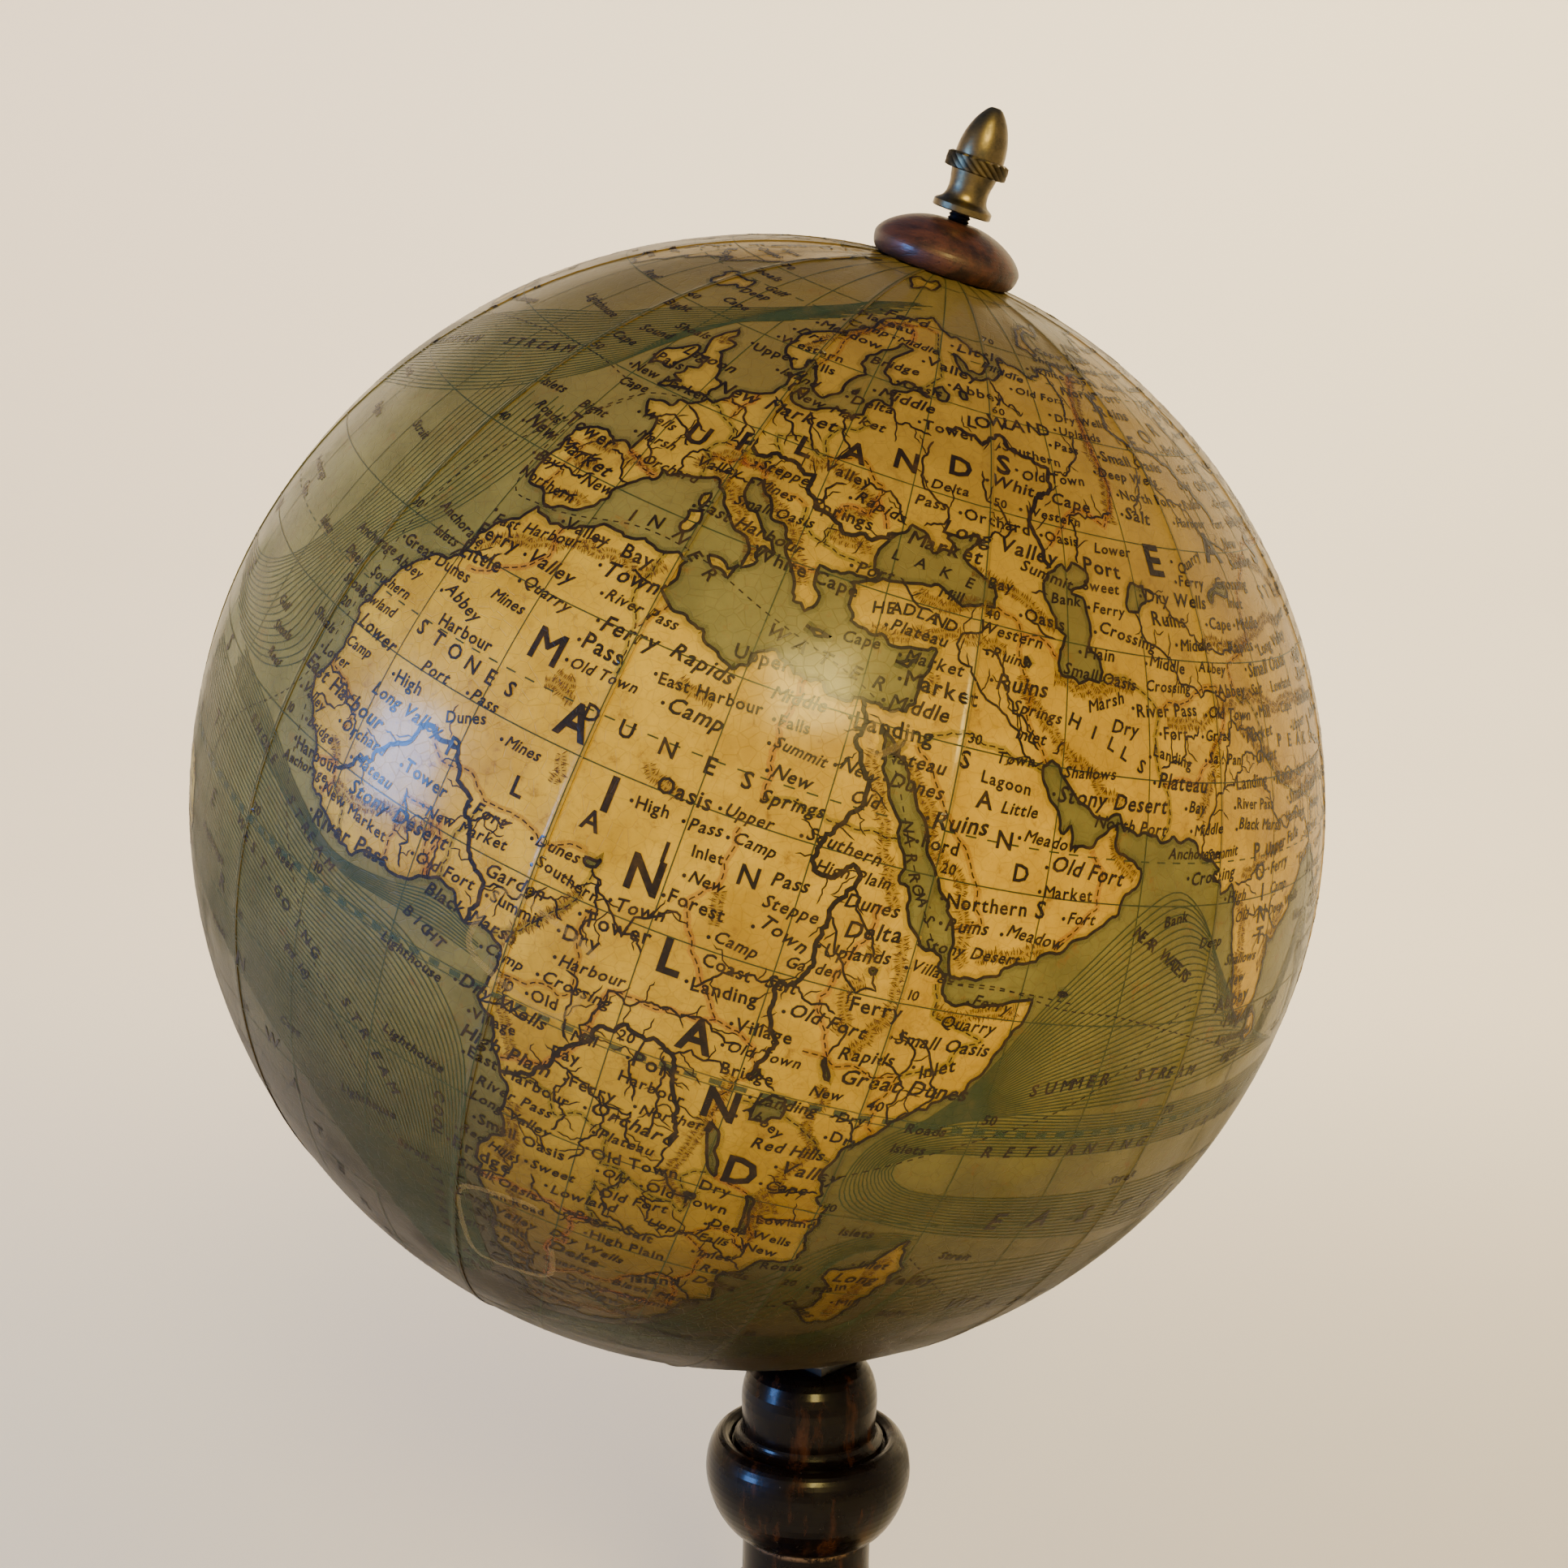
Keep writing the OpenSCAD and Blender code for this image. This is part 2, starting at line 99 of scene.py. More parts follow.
def wander(points, wiggle, step, rng, closed=False):
    """A line made natural: every stretch is halved and moved aside at random until it is short."""
    points = np.vstack([points, points[:1]]) if closed else points
    while True:
        run = np.diff(points, axis=0)
        length = np.hypot(run[:, 0] * np.cos(np.radians(points[:-1, 1])), run[:, 1])
        if length.max() < step:
            return points
        split = length >= step
        aside = rng.normal(0, wiggle, len(run))[:, None] * np.stack([-run[:, 1], run[:, 0]], -1)
        middle = points[:-1] + run / 2 + aside
        out = []
        for n in range(len(run)):
            out.append(points[n])
            if split[n]:
                out.append(middle[n])
        points = np.array(out + [points[-1]])


SHORES = {
    "old_world": """32.3,31.2 31.8,31.5 30.4,31.5 29,30.9 27,31.2 25,31.6 23.2,32.3 22,32.9 20.2,32.2
        20,31 19,30.3 17.5,30.8 15.4,31.7 15.2,32.4 13.2,32.9 11.2,33.2 10,34 10.8,35.2 10.5,36.3 11,37
        9.8,37.3 7,37 3,36.8 0,36 -2,35.1 -5,35.3 -5.9,35.8 -6.8,34.1 -8.4,33.2 -9.7,31.5 -9.7,30
        -11.5,28.4 -12.9,27.9 -14.5,26.2 -16,23.8 -17,21 -16.2,19.2 -16.5,16.6 -17.5,14.7 -16.8,12.6
        -15.2,11 -13.7,9.7 -13.1,8.1 -11,6.6 -9.2,5.3 -7.6,4.3 -4.6,5.2 -2,4.8 1,5.9 4.3,6.3 5.3,4.9
        6.2,4.3 8.4,4.6 9.4,4 9.8,2.6 9.3,1 8.8,-.7 11,-3.9 12.2,-6 13.3,-8.8 13.6,-10.8 12.6,-13.3
        11.8,-16 12.5,-18.6 14.4,-22.4 15.1,-26.6 16.5,-28.7 18.2,-31.8 18,-33 18.4,-34.2 20,-34.8
        22.3,-34 25.7,-34 28,-32.9 30.6,-30.5 32.5,-28.4 32.9,-26 33.2,-25.1 35.4,-23.9 35.2,-21.4
        34.8,-19.9 36.9,-17.9 39.5,-16.5 40.7,-14.6 40.5,-10.7 39.4,-8.5 38.9,-6.4 39.6,-4.3 40.3,-2.6
        41.8,-1.4 44,1.1 46,2.5 48,4.6 49.8,8 51,10.5 51.2,11.9 48.8,11.3 46.5,10.7 44.5,10.5 43.2,11.4
        43.2,12.6 41.5,14.6 39.6,15.6 38.6,18 37.3,18.9 37.1,21.2 35.6,23.9 34.2,26.2 33.6,27.8 32.6,29.9
        34.3,27.8 34.9,29.4 34.7,28 36.8,25.7 38.3,23.7 39.1,21.4 41.1,18.8 42.6,16.6 43,14 43.5,12.7
        45.1,12.9 47.6,13.4 49.4,14.6 52.2,15.7 54,17 55.3,17.6 56.7,18.6 57.8,19.1 58,20.4 59.4,21.4
        59.8,22.5 58.6,23.6 57,24 56.4,24.9 56.4,26.3 55.2,25.4 54,24.2 51.8,24.1 51.5,25.8 50.8,24.9
        50.1,26.6 48.7,28.2 48,29.8 49.7,30.1 51.1,28.5 52.8,27.4 54.8,26.6 56.6,27.1 57.1,26 58.9,25.5
        61.7,25.1 64.8,25.3 66.6,25 67.5,23.9 70,22.8 69.1,22.2 70.6,20.8 72.3,21.6 72.8,19.3 73.6,15.9
        74.7,13 76.3,9.9 77.5,8.1 78.3,9 79.9,10.4 80.3,13.3 80.2,15.7 82.3,16.7 84.8,19.2 86.9,20.9
        88.9,21.8 90.6,22.6 92,21.3 94,18.6 94.4,16 95.9,15.9 97.2,16.9 97.8,14.8 98.7,11.4 98.3,8
        100.4,6.1 101.4,2.9 103.6,1.3 104.2,1.5 103.4,4.5 102.2,6.2 100.5,7.2 99.3,9.5 100,13.4 101,12.7
        103,11 104.9,8.7 107,10.4 109.2,11.8 108.8,15 106.2,18.3 106.7,20.5 108.4,21.6 110.2,20.4
        110.8,21.4 114.2,22.5 117,23.6 119.7,25.8 121.8,29.3 121.5,31.8 119.3,34.8 120.6,36.1 122.5,37.2
        119.2,37.4 118,39.1 121.5,40.8 121.4,39 124.5,39.9 125.2,37.8 126.5,34.5 129.2,35.3 129.3,37.3
        127.6,39.6 130.7,42.4 135.5,44.2 140.4,48.4 141.2,52.6 137.5,54 140,57.5 143,59.2 151.5,59.2
        155.5,59.5 160,61.6 164,62.4 162.8,60 157.5,57.7 155.6,55.5 156.7,51 160,53.3 162.5,56.5
        163.3,58.3 170.5,60 177.5,62.6 181,65 187,64.5 190,66.2 180,69 170,69.9 160,70 151,71.4 140,72.5
        130,71 127,73.4 113,73.7 105,77.6 98,76.2 87,75 80.5,73.6 80,72 74,73 72,71 73,67.5 69,68.5 67,69
        60.5,69.8 57,68.6 54,68.2 48,67.6 44,68.5 44,66.2 40.5,64.7 37.5,64 34.8,64.5 32.6,66.8 40,66.1
        41.2,67 36,69 31,69.8 28.5,71 25,71.1 20,70 16,68.5 13,65.5 10.5,63.8 5.2,62 5,60.4 5.6,58.8
        7.5,58 10.5,59.3 11.5,58.2 12.8,56 14.3,55.5 16.3,56.5 17,58.6 18.8,59.9 17.2,61 17.5,62.5
        21.3,64.6 22.3,65.8 24.9,65.4 21.6,63 21.3,60.9 23,59.9 28,60.4 30,59.8 26,59.5 23.6,59.2
        24.3,57.2 22.5,57.6 21,56.5 21,55.2 19.7,54.4 18.5,54.7 14.3,53.9 11,54.2 9.9,54.9 10.6,57.6
        8.2,56.8 8.5,54 7,53.4 4.8,53 3.4,51.5 1.6,50.9 .2,49.6 -1.4,49.7 -1.5,48.7 -4.7,48.5 -4.2,47.8
        -2,47.2 -1.1,45.7 -1.6,43.5 -4,43.5 -7.9,43.7 -9.2,43 -8.8,40.8 -9.4,38.8 -8.9,37.1 -6.5,37
        -5.6,36.1 -2.2,36.8 -.6,37.9 .1,38.8 -.2,39.7 .9,40.8 3.1,41.9 3.2,43.1 5,43.4 7.5,43.8 8.9,44.4
        10.3,43.5 12.2,41.8 14.3,40.7 15.7,39.9 15.8,38 17,39 16.8,40.4 18.4,39.9 16,41.7 14,42.7
        12.5,44.1 12.5,45.5 13.7,45.6 14.2,45 16,43.6 18.4,42.4 19.5,41.5 19.4,40.3 21.2,38.4 21.7,36.9
        23,36.5 23.9,38 22.9,39.3 22.9,40.5 24.2,40.3 26,40.8 28.8,41.1 27.9,42.5 28.6,44 29.6,45.2
        30.8,46.4 32.6,46.1 33.6,44.5 35.4,45.1 36.4,45.3 35,46.2 38.2,47.1 39.2,47 37.6,45.6 37.3,45
        39,44.1 41.5,42.4 41.4,41.4 39.4,41.1 36.4,41.4 35,42 31.6,41.3 29.3,41.1 27.6,40.4 26.2,40
        26.8,38.5 27.4,37 28.3,36.7 30.6,36.8 32.6,36.1 34.2,36.4 36.1,36.8 35.8,35.4 35.1,33.2 34.3,31.4
        33.2,31.1""",
    "caspian": "47,44.6 48.8,46.3 51,47 53,46.4 52.7,45.3 51,44.7 50.4,44.2 52.6,42.4 52.9,41 53.9,39 53.8,37.2 "
    "51.3,36.8 49,37.7 49.4,39.6 49.7,40.5 48,42.2",
    "aral": "58.4,44.6 59.6,46.3 61.4,46.3 61.6,44.8 60,43.7 58.5,43.6",
    "victoria": "32,-.8 33,.3 34.1,.2 34.2,-1.6 33.2,-2.4 31.9,-2.4",
    "tanganyika": "29.2,-3.5 29.6,-5.9 30.6,-8.3 31.1,-8.6 30.2,-6 29.6,-3.9",
    "nyassa": "34,-9.7 34.4,-11.5 34.5,-13.9 35.2,-14 34.8,-11.6 34.6,-9.8",
    "small_lakes": "13.4,13.2 14.8,13.7 14.6,12.9 13.6,12.7",
    "albert": "30.6,1.2 31.3,2.2 31.5,2 30.9,1",
    "rudolf": "35.9,4.4 36.4,3.4 36.7,2.5 36.2,3",
    "bangweulu": "29.3,-10.9 30.2,-10.9 30.1,-11.6 29.4,-11.5",
    "tsana": "37,12.2 37.6,12.2 37.5,11.7 37.1,11.7",
    "urmia": "45.2,38.1 45.8,37.6 45.5,37.2 45.1,37.6",
    "balkhash": "73.7,46 76,46.8 79,46.7 76,46.2 74,45.2",
    "ladoga": "30,61 31.4,61.7 32.8,61 32.5,60 31,59.9",
    "onega": "34.6,61.8 35.6,62 36.2,61 35.2,60.9",
    "baikal": "104,51.6 107,53 109.8,55.6 109.5,54 107,51.8",
    "great_lakes": "-92,46.8 -88,48.5 -84.6,46.6 -80.5,45.8 -82,43.2 -79,43.2 -83,41.5 -84,45 -86,44.5 "
    "-86.5,42 -88,42.5 -87,45.5 -88,46.7",
    "winnipeg": "-97,50.5 -99,53.8 -97.5,53 -96.5,51",
    "great_bear": "-124,66.5 -118,66.8 -120,65 -124,65.5",
    "great_slave": "-116,61.2 -109,62.8 -112,61 -115,60.8",
    "madagascar": "49.3,-12 50.4,-15.6 49.5,-17 48.4,-20.5 47.1,-25 45.2,-25.5 43.5,-23.2 44.4,-20 44.1,-16.4 "
    "46.4,-15.8 48,-13.5",
    "ceylon": "80,9.7 81.3,8.4 81.8,7.1 80.6,6 79.8,7.4",
    "socotra": "53.4,12.6 54.4,12.6 53.9,12.3",
    "britain": "-5.6,50.1 -3.5,50.5 -1,50.8 1.3,51.2 .9,51.7 1.7,52.7 .3,53 -.1,54 -1.5,55.1 -3,56 -2,57.6 "
    "-4,57.7 -3.2,58.6 -5,58.5 -6,57 -5,55.6 -4.8,54.8 -3.1,54.7 -3,53.4 -4.6,53.1 -4.2,52.4 -5.2,51.8 -3,51.4",
    "ireland": "-6.2,52.2 -9.6,51.6 -9.8,53.9 -8.3,54.5 -7.2,55.3 -5.6,54.5 -6.1,53.3",
    "iceland": "-22.5,63.9 -18.8,63.4 -14,64.8 -15,66.3 -18,66 -22.5,66.4 -24,65.5 -22,65",
    "greenland": "-44,60 -42,62.5 -40,65 -33,68 -24,70.3 -20,74 -18,77 -20,80 -14,81.5 -30,83.4 -45,82.5 "
    "-60,81.5 -68,80 -72,78.4 -66,76 -58,75 -54,71 -52,68 -53,66 -51,63 -48,61",
    "spitsbergen": "12,79.2 16,76.7 20,78.2 27,80 18,80.2",
    "new_land": "51.7,71.5 55.5,70.6 57.5,70.7 56,73 60,75 68.6,76.7 62,76.1 56,74.8 53.5,73",
    "sicily": "12.4,38 13.8,38.1 15.6,38.2 15.1,36.8 13.3,37.2",
    "sardinia": "8.3,40.8 9.6,41.1 9.6,39.3 8.5,39",
    "corsica": "8.7,42.5 9.4,42.9 9.4,41.5 8.8,41.6",
    "crete": "23.6,35.5 26.2,35.2 24.8,34.9",
    "cyprus": "32.4,35 34.5,35.6 33.7,34.8",
    "islands_east": "18.1,57.4 19,57.8 18.5,57",
    "seeland": "11.2,55.6 12.5,55.9 12.2,55",
    "honshu": "131,34 133,34.3 135.5,33.6 137,34.6 140,35.2 141,37 142,39.5 141.2,41.3 140,40.5 139.5,38.3 "
    "137,36.9 136,35.7 132.8,35.4",
    "kyushu": "130,33.5 131.8,33.3 131,31.2 130,32",
    "yezo": "140.2,42 143.3,42 145.4,43.4 141.8,45.4 141.4,43.2",
    "sakhalin": "142,46 143.5,49 143.2,54 142,50",
    "formosa": "120.1,23 121,22 122,25 121,25",
    "hainan": "108.7,19 110,18.4 111,20 109.5,20",
    "luzon": "120.4,16 120.2,18.5 122,18.4 121.6,15.8 124,13 122,13.7 120.7,14",
    "mindanao": "122,7.2 124,6.4 125.7,6 126.5,8 125.3,9.8 123.5,8.6",
    "borneo": "109,1.8 110.2,-1.5 111.8,-3.4 114.7,-4 116.2,-2.5 117.8,1 119,5.2 117,7 113.5,3.2 111.3,2.5",
    "sumatra": "95.3,5.6 98,4.2 100.5,2.2 103.4,-.6 106,-3.1 105.8,-5.8 104.5,-5.8 101.8,-3 100.3,-.8 98.6,1.7",
    "java": "105.2,-6.8 106.8,-6 110.8,-6.5 114.4,-7.8 114.4,-8.6 108.5,-7.8",
    "celebes": "119.4,-5.4 119,-2.8 120,1 124.8,1.6 121,.5 121,-1.2 123.3,-1 121.5,-2 122.8,-4.6 120.7,-3",
    "new_guinea": "131,-.8 134,-.9 135.2,-3.3 138,-1.7 141,-2.6 145,-4.3 147.8,-6 150.5,-10.4 147,-9.5 "
    "143.5,-8.6 141,-9.1 138.5,-8.2 138,-5.5 135.5,-4.4 132.8,-4 133.7,-2.3 132,-2.2",
    "australia": "114.1,-22 113.6,-25 115.7,-31.8 115,-34.2 118,-35 123.5,-33.9 129,-31.7 132,-32 135.5,-34.8 "
    "138,-33 138,-35.6 140.5,-38 144,-38.8 146.4,-39.1 150,-37.4 151.3,-33.5 153.3,-28.5 153,-25 149.5,-21.5 "
    "146,-18.8 145.3,-15 142.5,-10.7 141.5,-14 140,-17.7 137.5,-16 135.5,-14.8 136.8,-12 132.5,-11.4 130,-13 "
    "129.5,-14.9 126,-14 122.2,-18 119,-20",
    "tasmania": "144.7,-40.8 148.3,-40.9 147.5,-43.3 146,-43.4",
    "north_island": "172.8,-34.5 175.5,-36.6 178.4,-37.8 177,-39.5 175.3,-41.6 173.8,-39.3 174.8,-38",
    "south_island": "172.7,-40.6 174.2,-41.8 172.8,-43.6 170.8,-45.9 168.4,-46.6 166.6,-45.9 168.3,-44 171.3,-42",
    "north_america": """-168,65.7 -162,64.4 -165,62 -162,59 -157.5,58.8 -163,55 -156,57.4 -152,59.3
        -148,60.5 -141,60 -135.5,57.5 -130.5,54.5 -127.5,51 -123,49 -124.7,48.3 -124,44 -124.3,40.4
        -121.5,36.5 -118,33.9 -115.5,29.5 -112.3,26.5 -110,23 -111.3,26 -114.7,31.2 -112.6,29.8
        -109.4,25.8 -105.5,22.5 -105.5,20.2 -101.5,17.7 -97,15.9 -94.5,16.3 -91.5,14 -87.5,13 -85.7,10.2
        -83.5,8.4 -80.3,7.4 -79.5,8.9 -78.3,8 -77.4,8.6 -79.8,9.5 -82.5,9.3 -83.6,11 -83.3,15 -88.5,15.8
        -88,18.3 -87,21.4 -90.3,21.1 -91,19 -94.2,18.2 -97.2,21 -97.5,25 -97,28 -94,29.6 -90,29.1 -86,30.3
        -83.8,29.8 -82.7,27.7 -81.2,25.2 -80.2,26.5 -81.3,30.5 -78.5,33.8 -76,35.2 -76,37 -74,39.8
        -70,41.8 -70.7,43.3 -67,44.8 -65,43.6 -61,45.5 -64.6,46.8 -65,48.5 -70,47 -66.5,50.2 -60,50.2
        -55.8,52.8 -58,55 -62,57.8 -64.8,60.3 -70,61 -77.8,62.4 -78,59 -76.6,56.2 -79.5,54.5 -79.5,51.5
        -82.3,53 -82.3,55.2 -87.5,56 -92.5,57 -94.6,59 -94,61.5 -89,64 -86.5,66.5 -81.5,68 -84.5,69.8
        -90,69 -94,72 -96,68.3 -109,68 -115,68 -122,69.8 -128,70.2 -135,69 -150,70.6 -156.5,71.3 -163,69.6
        -164,66.5""",
    "south_america": """-77.3,8.5 -75.5,10.6 -72,12.2 -71.5,10.9 -68,10.9 -62,10.7 -60,8.5 -57,6 -52,5
        -50,1 -48.5,-1 -44.3,-2.7 -40,-2.9 -35.5,-5.2 -34.9,-8 -37,-11 -39,-14 -39,-18 -41,-22 -44.5,-23
        -48.5,-25.5 -48.7,-28.3 -52,-32.5 -54,-34.7 -57.8,-34.4 -57,-36.5 -58,-38.2 -62.2,-39 -65,-41
        -63.7,-42.5 -65.3,-44.8 -67.5,-46 -65.8,-47.7 -69,-50.5 -68.3,-52.4 -65.3,-54.8 -70,-55 -74.5,-52
        -75.3,-47 -73.5,-42 -73.5,-37.3 -71.5,-32 -71.4,-29 -70.2,-20 -71.5,-17.5 -76.2,-14 -79,-8
        -81.3,-5.5 -80.2,-3.2 -80.8,-1.5 -78.9,1.5 -77.3,4 -77.9,7.2""",
    "baffin": "-65,62.2 -61.5,66.8 -68,70.3 -78,73.5 -85,73.5 -88,71 -80,70 -73,68 -73,64.5 -78,64.4 -71,62.4",
    "victoria_land": "-105,69.2 -117,70 -117,73 -106,73.5",
    "far_north": "-80,76.3 -76,79 -62,82.3 -75,83 -90,81.5 -87,78.5",
    "newfoundland": "-59,47.7 -53,46.8 -53.5,48.8 -55.6,51.5 -57.5,50",
    "cuba": "-85,22 -80,23.1 -74.3,20.2 -77.5,19.9 -78,20.9",
    "haiti": "-74.3,18.4 -73,19.9 -68.5,18.7 -71.5,17.8",
    "antarctica": """-180,-78 -165,-78.5 -150,-77 -135,-74.5 -110,-74.5 -80,-73 -68,-70 -62,-64.5
        -58,-63.5 -62,-72 -60,-75 -45,-78 -30,-77 -15,-73 0,-70.5 20,-70 40,-68.5 55,-66.3 70,-68.5
        82,-67.5 100,-66 115,-66.8 135,-66.3 150,-68.8 165,-72 165,-77.5 180,-78 180,-89.9 -180,-89.9""",
}
rng = np.random.default_rng(1893)
shores = [wander(places(text), 0.13, 0.7, rng, closed=True) for text in SHORES.values()]
shore_from = np.vstack([line[:-1] for line in shores])
shore_to = np.vstack([line[1:] for line in shores])
# Land that runs past the date line is written with longitudes over 180, so its copy 360 degrees
# further west closes the map there.
shore_from = np.vstack([shore_from, shore_from - [360, 0]])
shore_to = np.vstack([shore_to, shore_to - [360, 0]])


def on_land(lon, lat):
    """True for the places that are inside an odd number of shore lines."""
    lon = (np.asarray(lon, float) + 180) % 360 - 180
    lat = np.asarray(lat, float) + 1e-7
    found = np.zeros(len(lon), bool)
    for start in range(0, len(lon), 2000):
        x, y = lon[start : start + 2000, None], lat[start : start + 2000, None]
        (x0, y0), (x1, y1) = shore_from.T, shore_to.T
        spans = (y0 > y) != (y1 > y)
        crossing = x0 + (y - y0) * (x1 - x0) / np.where(y1 == y0, 1, y1 - y0)
        found[start : start + 2000] = (spans & (crossing > x)).sum(1) % 2 == 1
    return found


def new_piece(name, verts, faces, finish):
    """A mesh object at the origin with its one finish."""
    mesh = bpy.data.meshes.new(name)
    mesh.from_pydata(verts, [], faces)
    mesh.materials.append(finish)
    made = bpy.data.objects.new(name, mesh)
    bpy.context.scene.collection.objects.link(made)
    return made


def only(made):
    """Leaves just this object selected and active."""
    bpy.ops.object.select_all(action="DESELECT")
    made.select_set(True)
    bpy.context.view_layer.objects.active = made


class Value:
    """A number or colour that a node gives, which can be used in sums."""

    def __init__(self, finish, socket):
        self.finish = finish
        self.socket = socket

    def sum(self, operation, first, second):
        return self.finish.node("Math", {"operation": operation}, {0: first, 1: second})

    def __add__(self, other):
        return self.sum("ADD", self, other)

    def __sub__(self, other):
        return self.sum("SUBTRACT", self, other)

    def __rsub__(self, other):
        return self.sum("SUBTRACT", other, self)

    def __mul__(self, other):
        return self.sum("MULTIPLY", self, other)

    __radd__ = __add__
    __rmul__ = __mul__


class Finish:
    """A material, with one method that adds any node to it."""

    def __init__(self, name, **fixed):
        self.material = bpy.data.materials.new(name)
        self.material.use_nodes = True
        self.tree = self.material.node_tree
        self.shader = self.tree.nodes["Principled BSDF"]
        for key, value in fixed.items():
            self.set(key.replace("_", " "), value)
        self.place = self.node("TexCoord", {}, {}, "Object")

    def node(self, kind, settings, inputs, output=0):
        made = self.tree.nodes.new("ShaderNode" + kind)
        for key, value in settings.items():
            if key == "stops":
                for element, (at, colour) in zip(self.stops_for(made, len(value)), value):
                    element.position = at
                    element.color = colour if len(colour) == 4 else (*colour, 1)
            else:
                setattr(made, key, value)
        for key, value in inputs.items():
            self.feed(made.inputs[key], value)
        return Value(self, made.outputs[output])

    def stops_for(self, ramp, count):
        elements = ramp.color_ramp.elements
        while len(elements) < count:
            elements.new(0.5)
        return list(elements)

    def feed(self, socket, value):
        if isinstance(value, Value):
            self.tree.links.new(value.socket, socket)
        elif socket.type == "RGBA" and len(value) == 3:
            socket.default_value = (*value, 1)
        else:
            socket.default_value = value

    def set(self, name, value):
        self.feed(self.shader.inputs[name], value)

    def noise(self, size, detail=3.0, roughness=0.55, stretch=None):
        """Noise from 0 to 1, with lumps of about this size in metres."""
        where = self.place
        if stretch:
            where = self.node("Mapping", {}, {"Vector": where, "Scale": stretch})
        inputs = {"Vector": where, "Scale": 1 / size, "Detail": detail, "Roughness": roughness}
        return self.node("TexNoise", {}, inputs)

    def between(self, value, low, high):
        """How far the value is from low to high, from 0 to 1, with soft ends."""
        settings = {"interpolation_type": "SMOOTHSTEP"}
        return self.node("MapRange", settings, {"Value": value, "From Min": low, "From Max": high})

    def mix(self, factor, first, second, kind="MIX"):
        """A colour that goes from the first to the second."""
        settings = {"data_type": "RGBA", "blend_type": kind}
        return self.node("Mix", settings, {0: factor, 6: first, 7: second}, 2)

    def bump(self, height, distance, strength=1.0):
        inputs = {"Height": height, "Distance": distance, "Strength": strength}
        self.set("Normal", self.node("Bump", {}, inputs))


def rgb(red, green, blue):
    """A colour as the eye reads it, 0 to 255, turned to light values."""
    return tuple(((c / 255 + 0.055) / 1.055) ** 2.4 if c > 10 else c / 3295 for c in (red, green, blue))


def browned(finish):
    """Masks of painted shade: darker towards the bottom of the ball, and greyer and darker towards its top, partly
    dust and partly painted shade.
    """
    along = finish.node("VectorMath", {"operation": "SUBTRACT"}, {0: finish.place, 1: tuple(ball_centre)})
    up = finish.node("VectorMath", {"operation": "DOT_PRODUCT"}, {0: along, 1: tuple(pole / ball_r)}, 1)
    uneven = up + 0.16 * finish.noise(0.05, 5, 0.6)
    low = 1 - finish.between(uneven, -0.5, 0.35)
    return 0.92 * low, finish.between(uneven, 0.52, 0.98)


def varnish(finish):
    """Old spirit varnish: thin, yellowed, a little uneven, finely crackled and rubbed dull in places."""
    rubbed = finish.between(finish.noise(0.03, 5), 0.5, 0.72)
    crackle = finish.node(
        "TexVoronoi", {"feature": "DISTANCE_TO_EDGE"}, {"Vector": finish.place, "Scale": 330.0}
    )
    crack = 1 - finish.between(crackle, 0.0, 0.05)
    finish.set("Roughness", 0.46 + 0.14 * rubbed)
    # The coat thins towards the bottom of the ball, under the same mask as the painted shade.
    finish.set("Coat Weight", (0.4 - 0.2 * rubbed - 0.12 * crack) * (1 - browned(finish)[0]))
    finish.set("Coat Roughness", 0.17)
    finish.set("Coat IOR", 1.42)
    finish.set("Specular IOR Level", 0.15)
    height = 0.5 * finish.noise(0.011, 4) + 0.16 * finish.noise(0.0022, 3) - 0.1 * crack
    finish.bump(height, 0.0007, 0.55)
    return crack


map_print = Finish("varnished_map_print")
land = map_print.node("Attribute", {"attribute_name": "land"}, {}, "Fac")
grime = map_print.node("Attribute", {"attribute_name": "grime"}, {}, "Fac")
crack = varnish(map_print)
foxing = map_print.between(map_print.noise(0.0045, 6, 0.7), 0.56, 0.74)
cloud = map_print.between(map_print.noise(0.02, 6, 0.65), 0.25, 0.75)
speckle = map_print.noise(0.0012, 4, 0.7)
land_tone = map_print.mix(cloud, rgb(146, 112, 20), rgb(188, 152, 42))
sea_tone = map_print.mix(cloud, rgb(82, 77, 34), rgb(112, 104, 52))
paper = map_print.mix(land, sea_tone, land_tone)
paper = map_print.mix(0.75 * foxing, paper, rgb(108, 72, 22))
paper = map_print.mix(0.35 * map_print.between(speckle, 0.5, 0.8), paper, rgb(96, 66, 22))
stain = map_print.between(map_print.noise(0.07, 6, 0.65), 0.55, 0.78)
paper = map_print.mix(0.55 * stain, paper, rgb(88, 62, 20))
painted_shade_below, dust_and_top_shade = browned(map_print)
# Towards the top the paper goes greyer and darker: partly dust, partly painted shade.
paper = map_print.mix(0.7 * dust_and_top_shade, paper, rgb(96, 80, 42))
# Painted shade: the paper goes nearly black brown towards the bottom of the ball.
paper = map_print.mix(painted_shade_below, paper, rgb(32, 21, 8))
paper = map_print.mix(0.72 * grime, paper, rgb(54, 40, 20))
paper = map_print.mix(0.16 * crack, paper, rgb(66, 44, 16))
map_print.set("Base Color", paper)

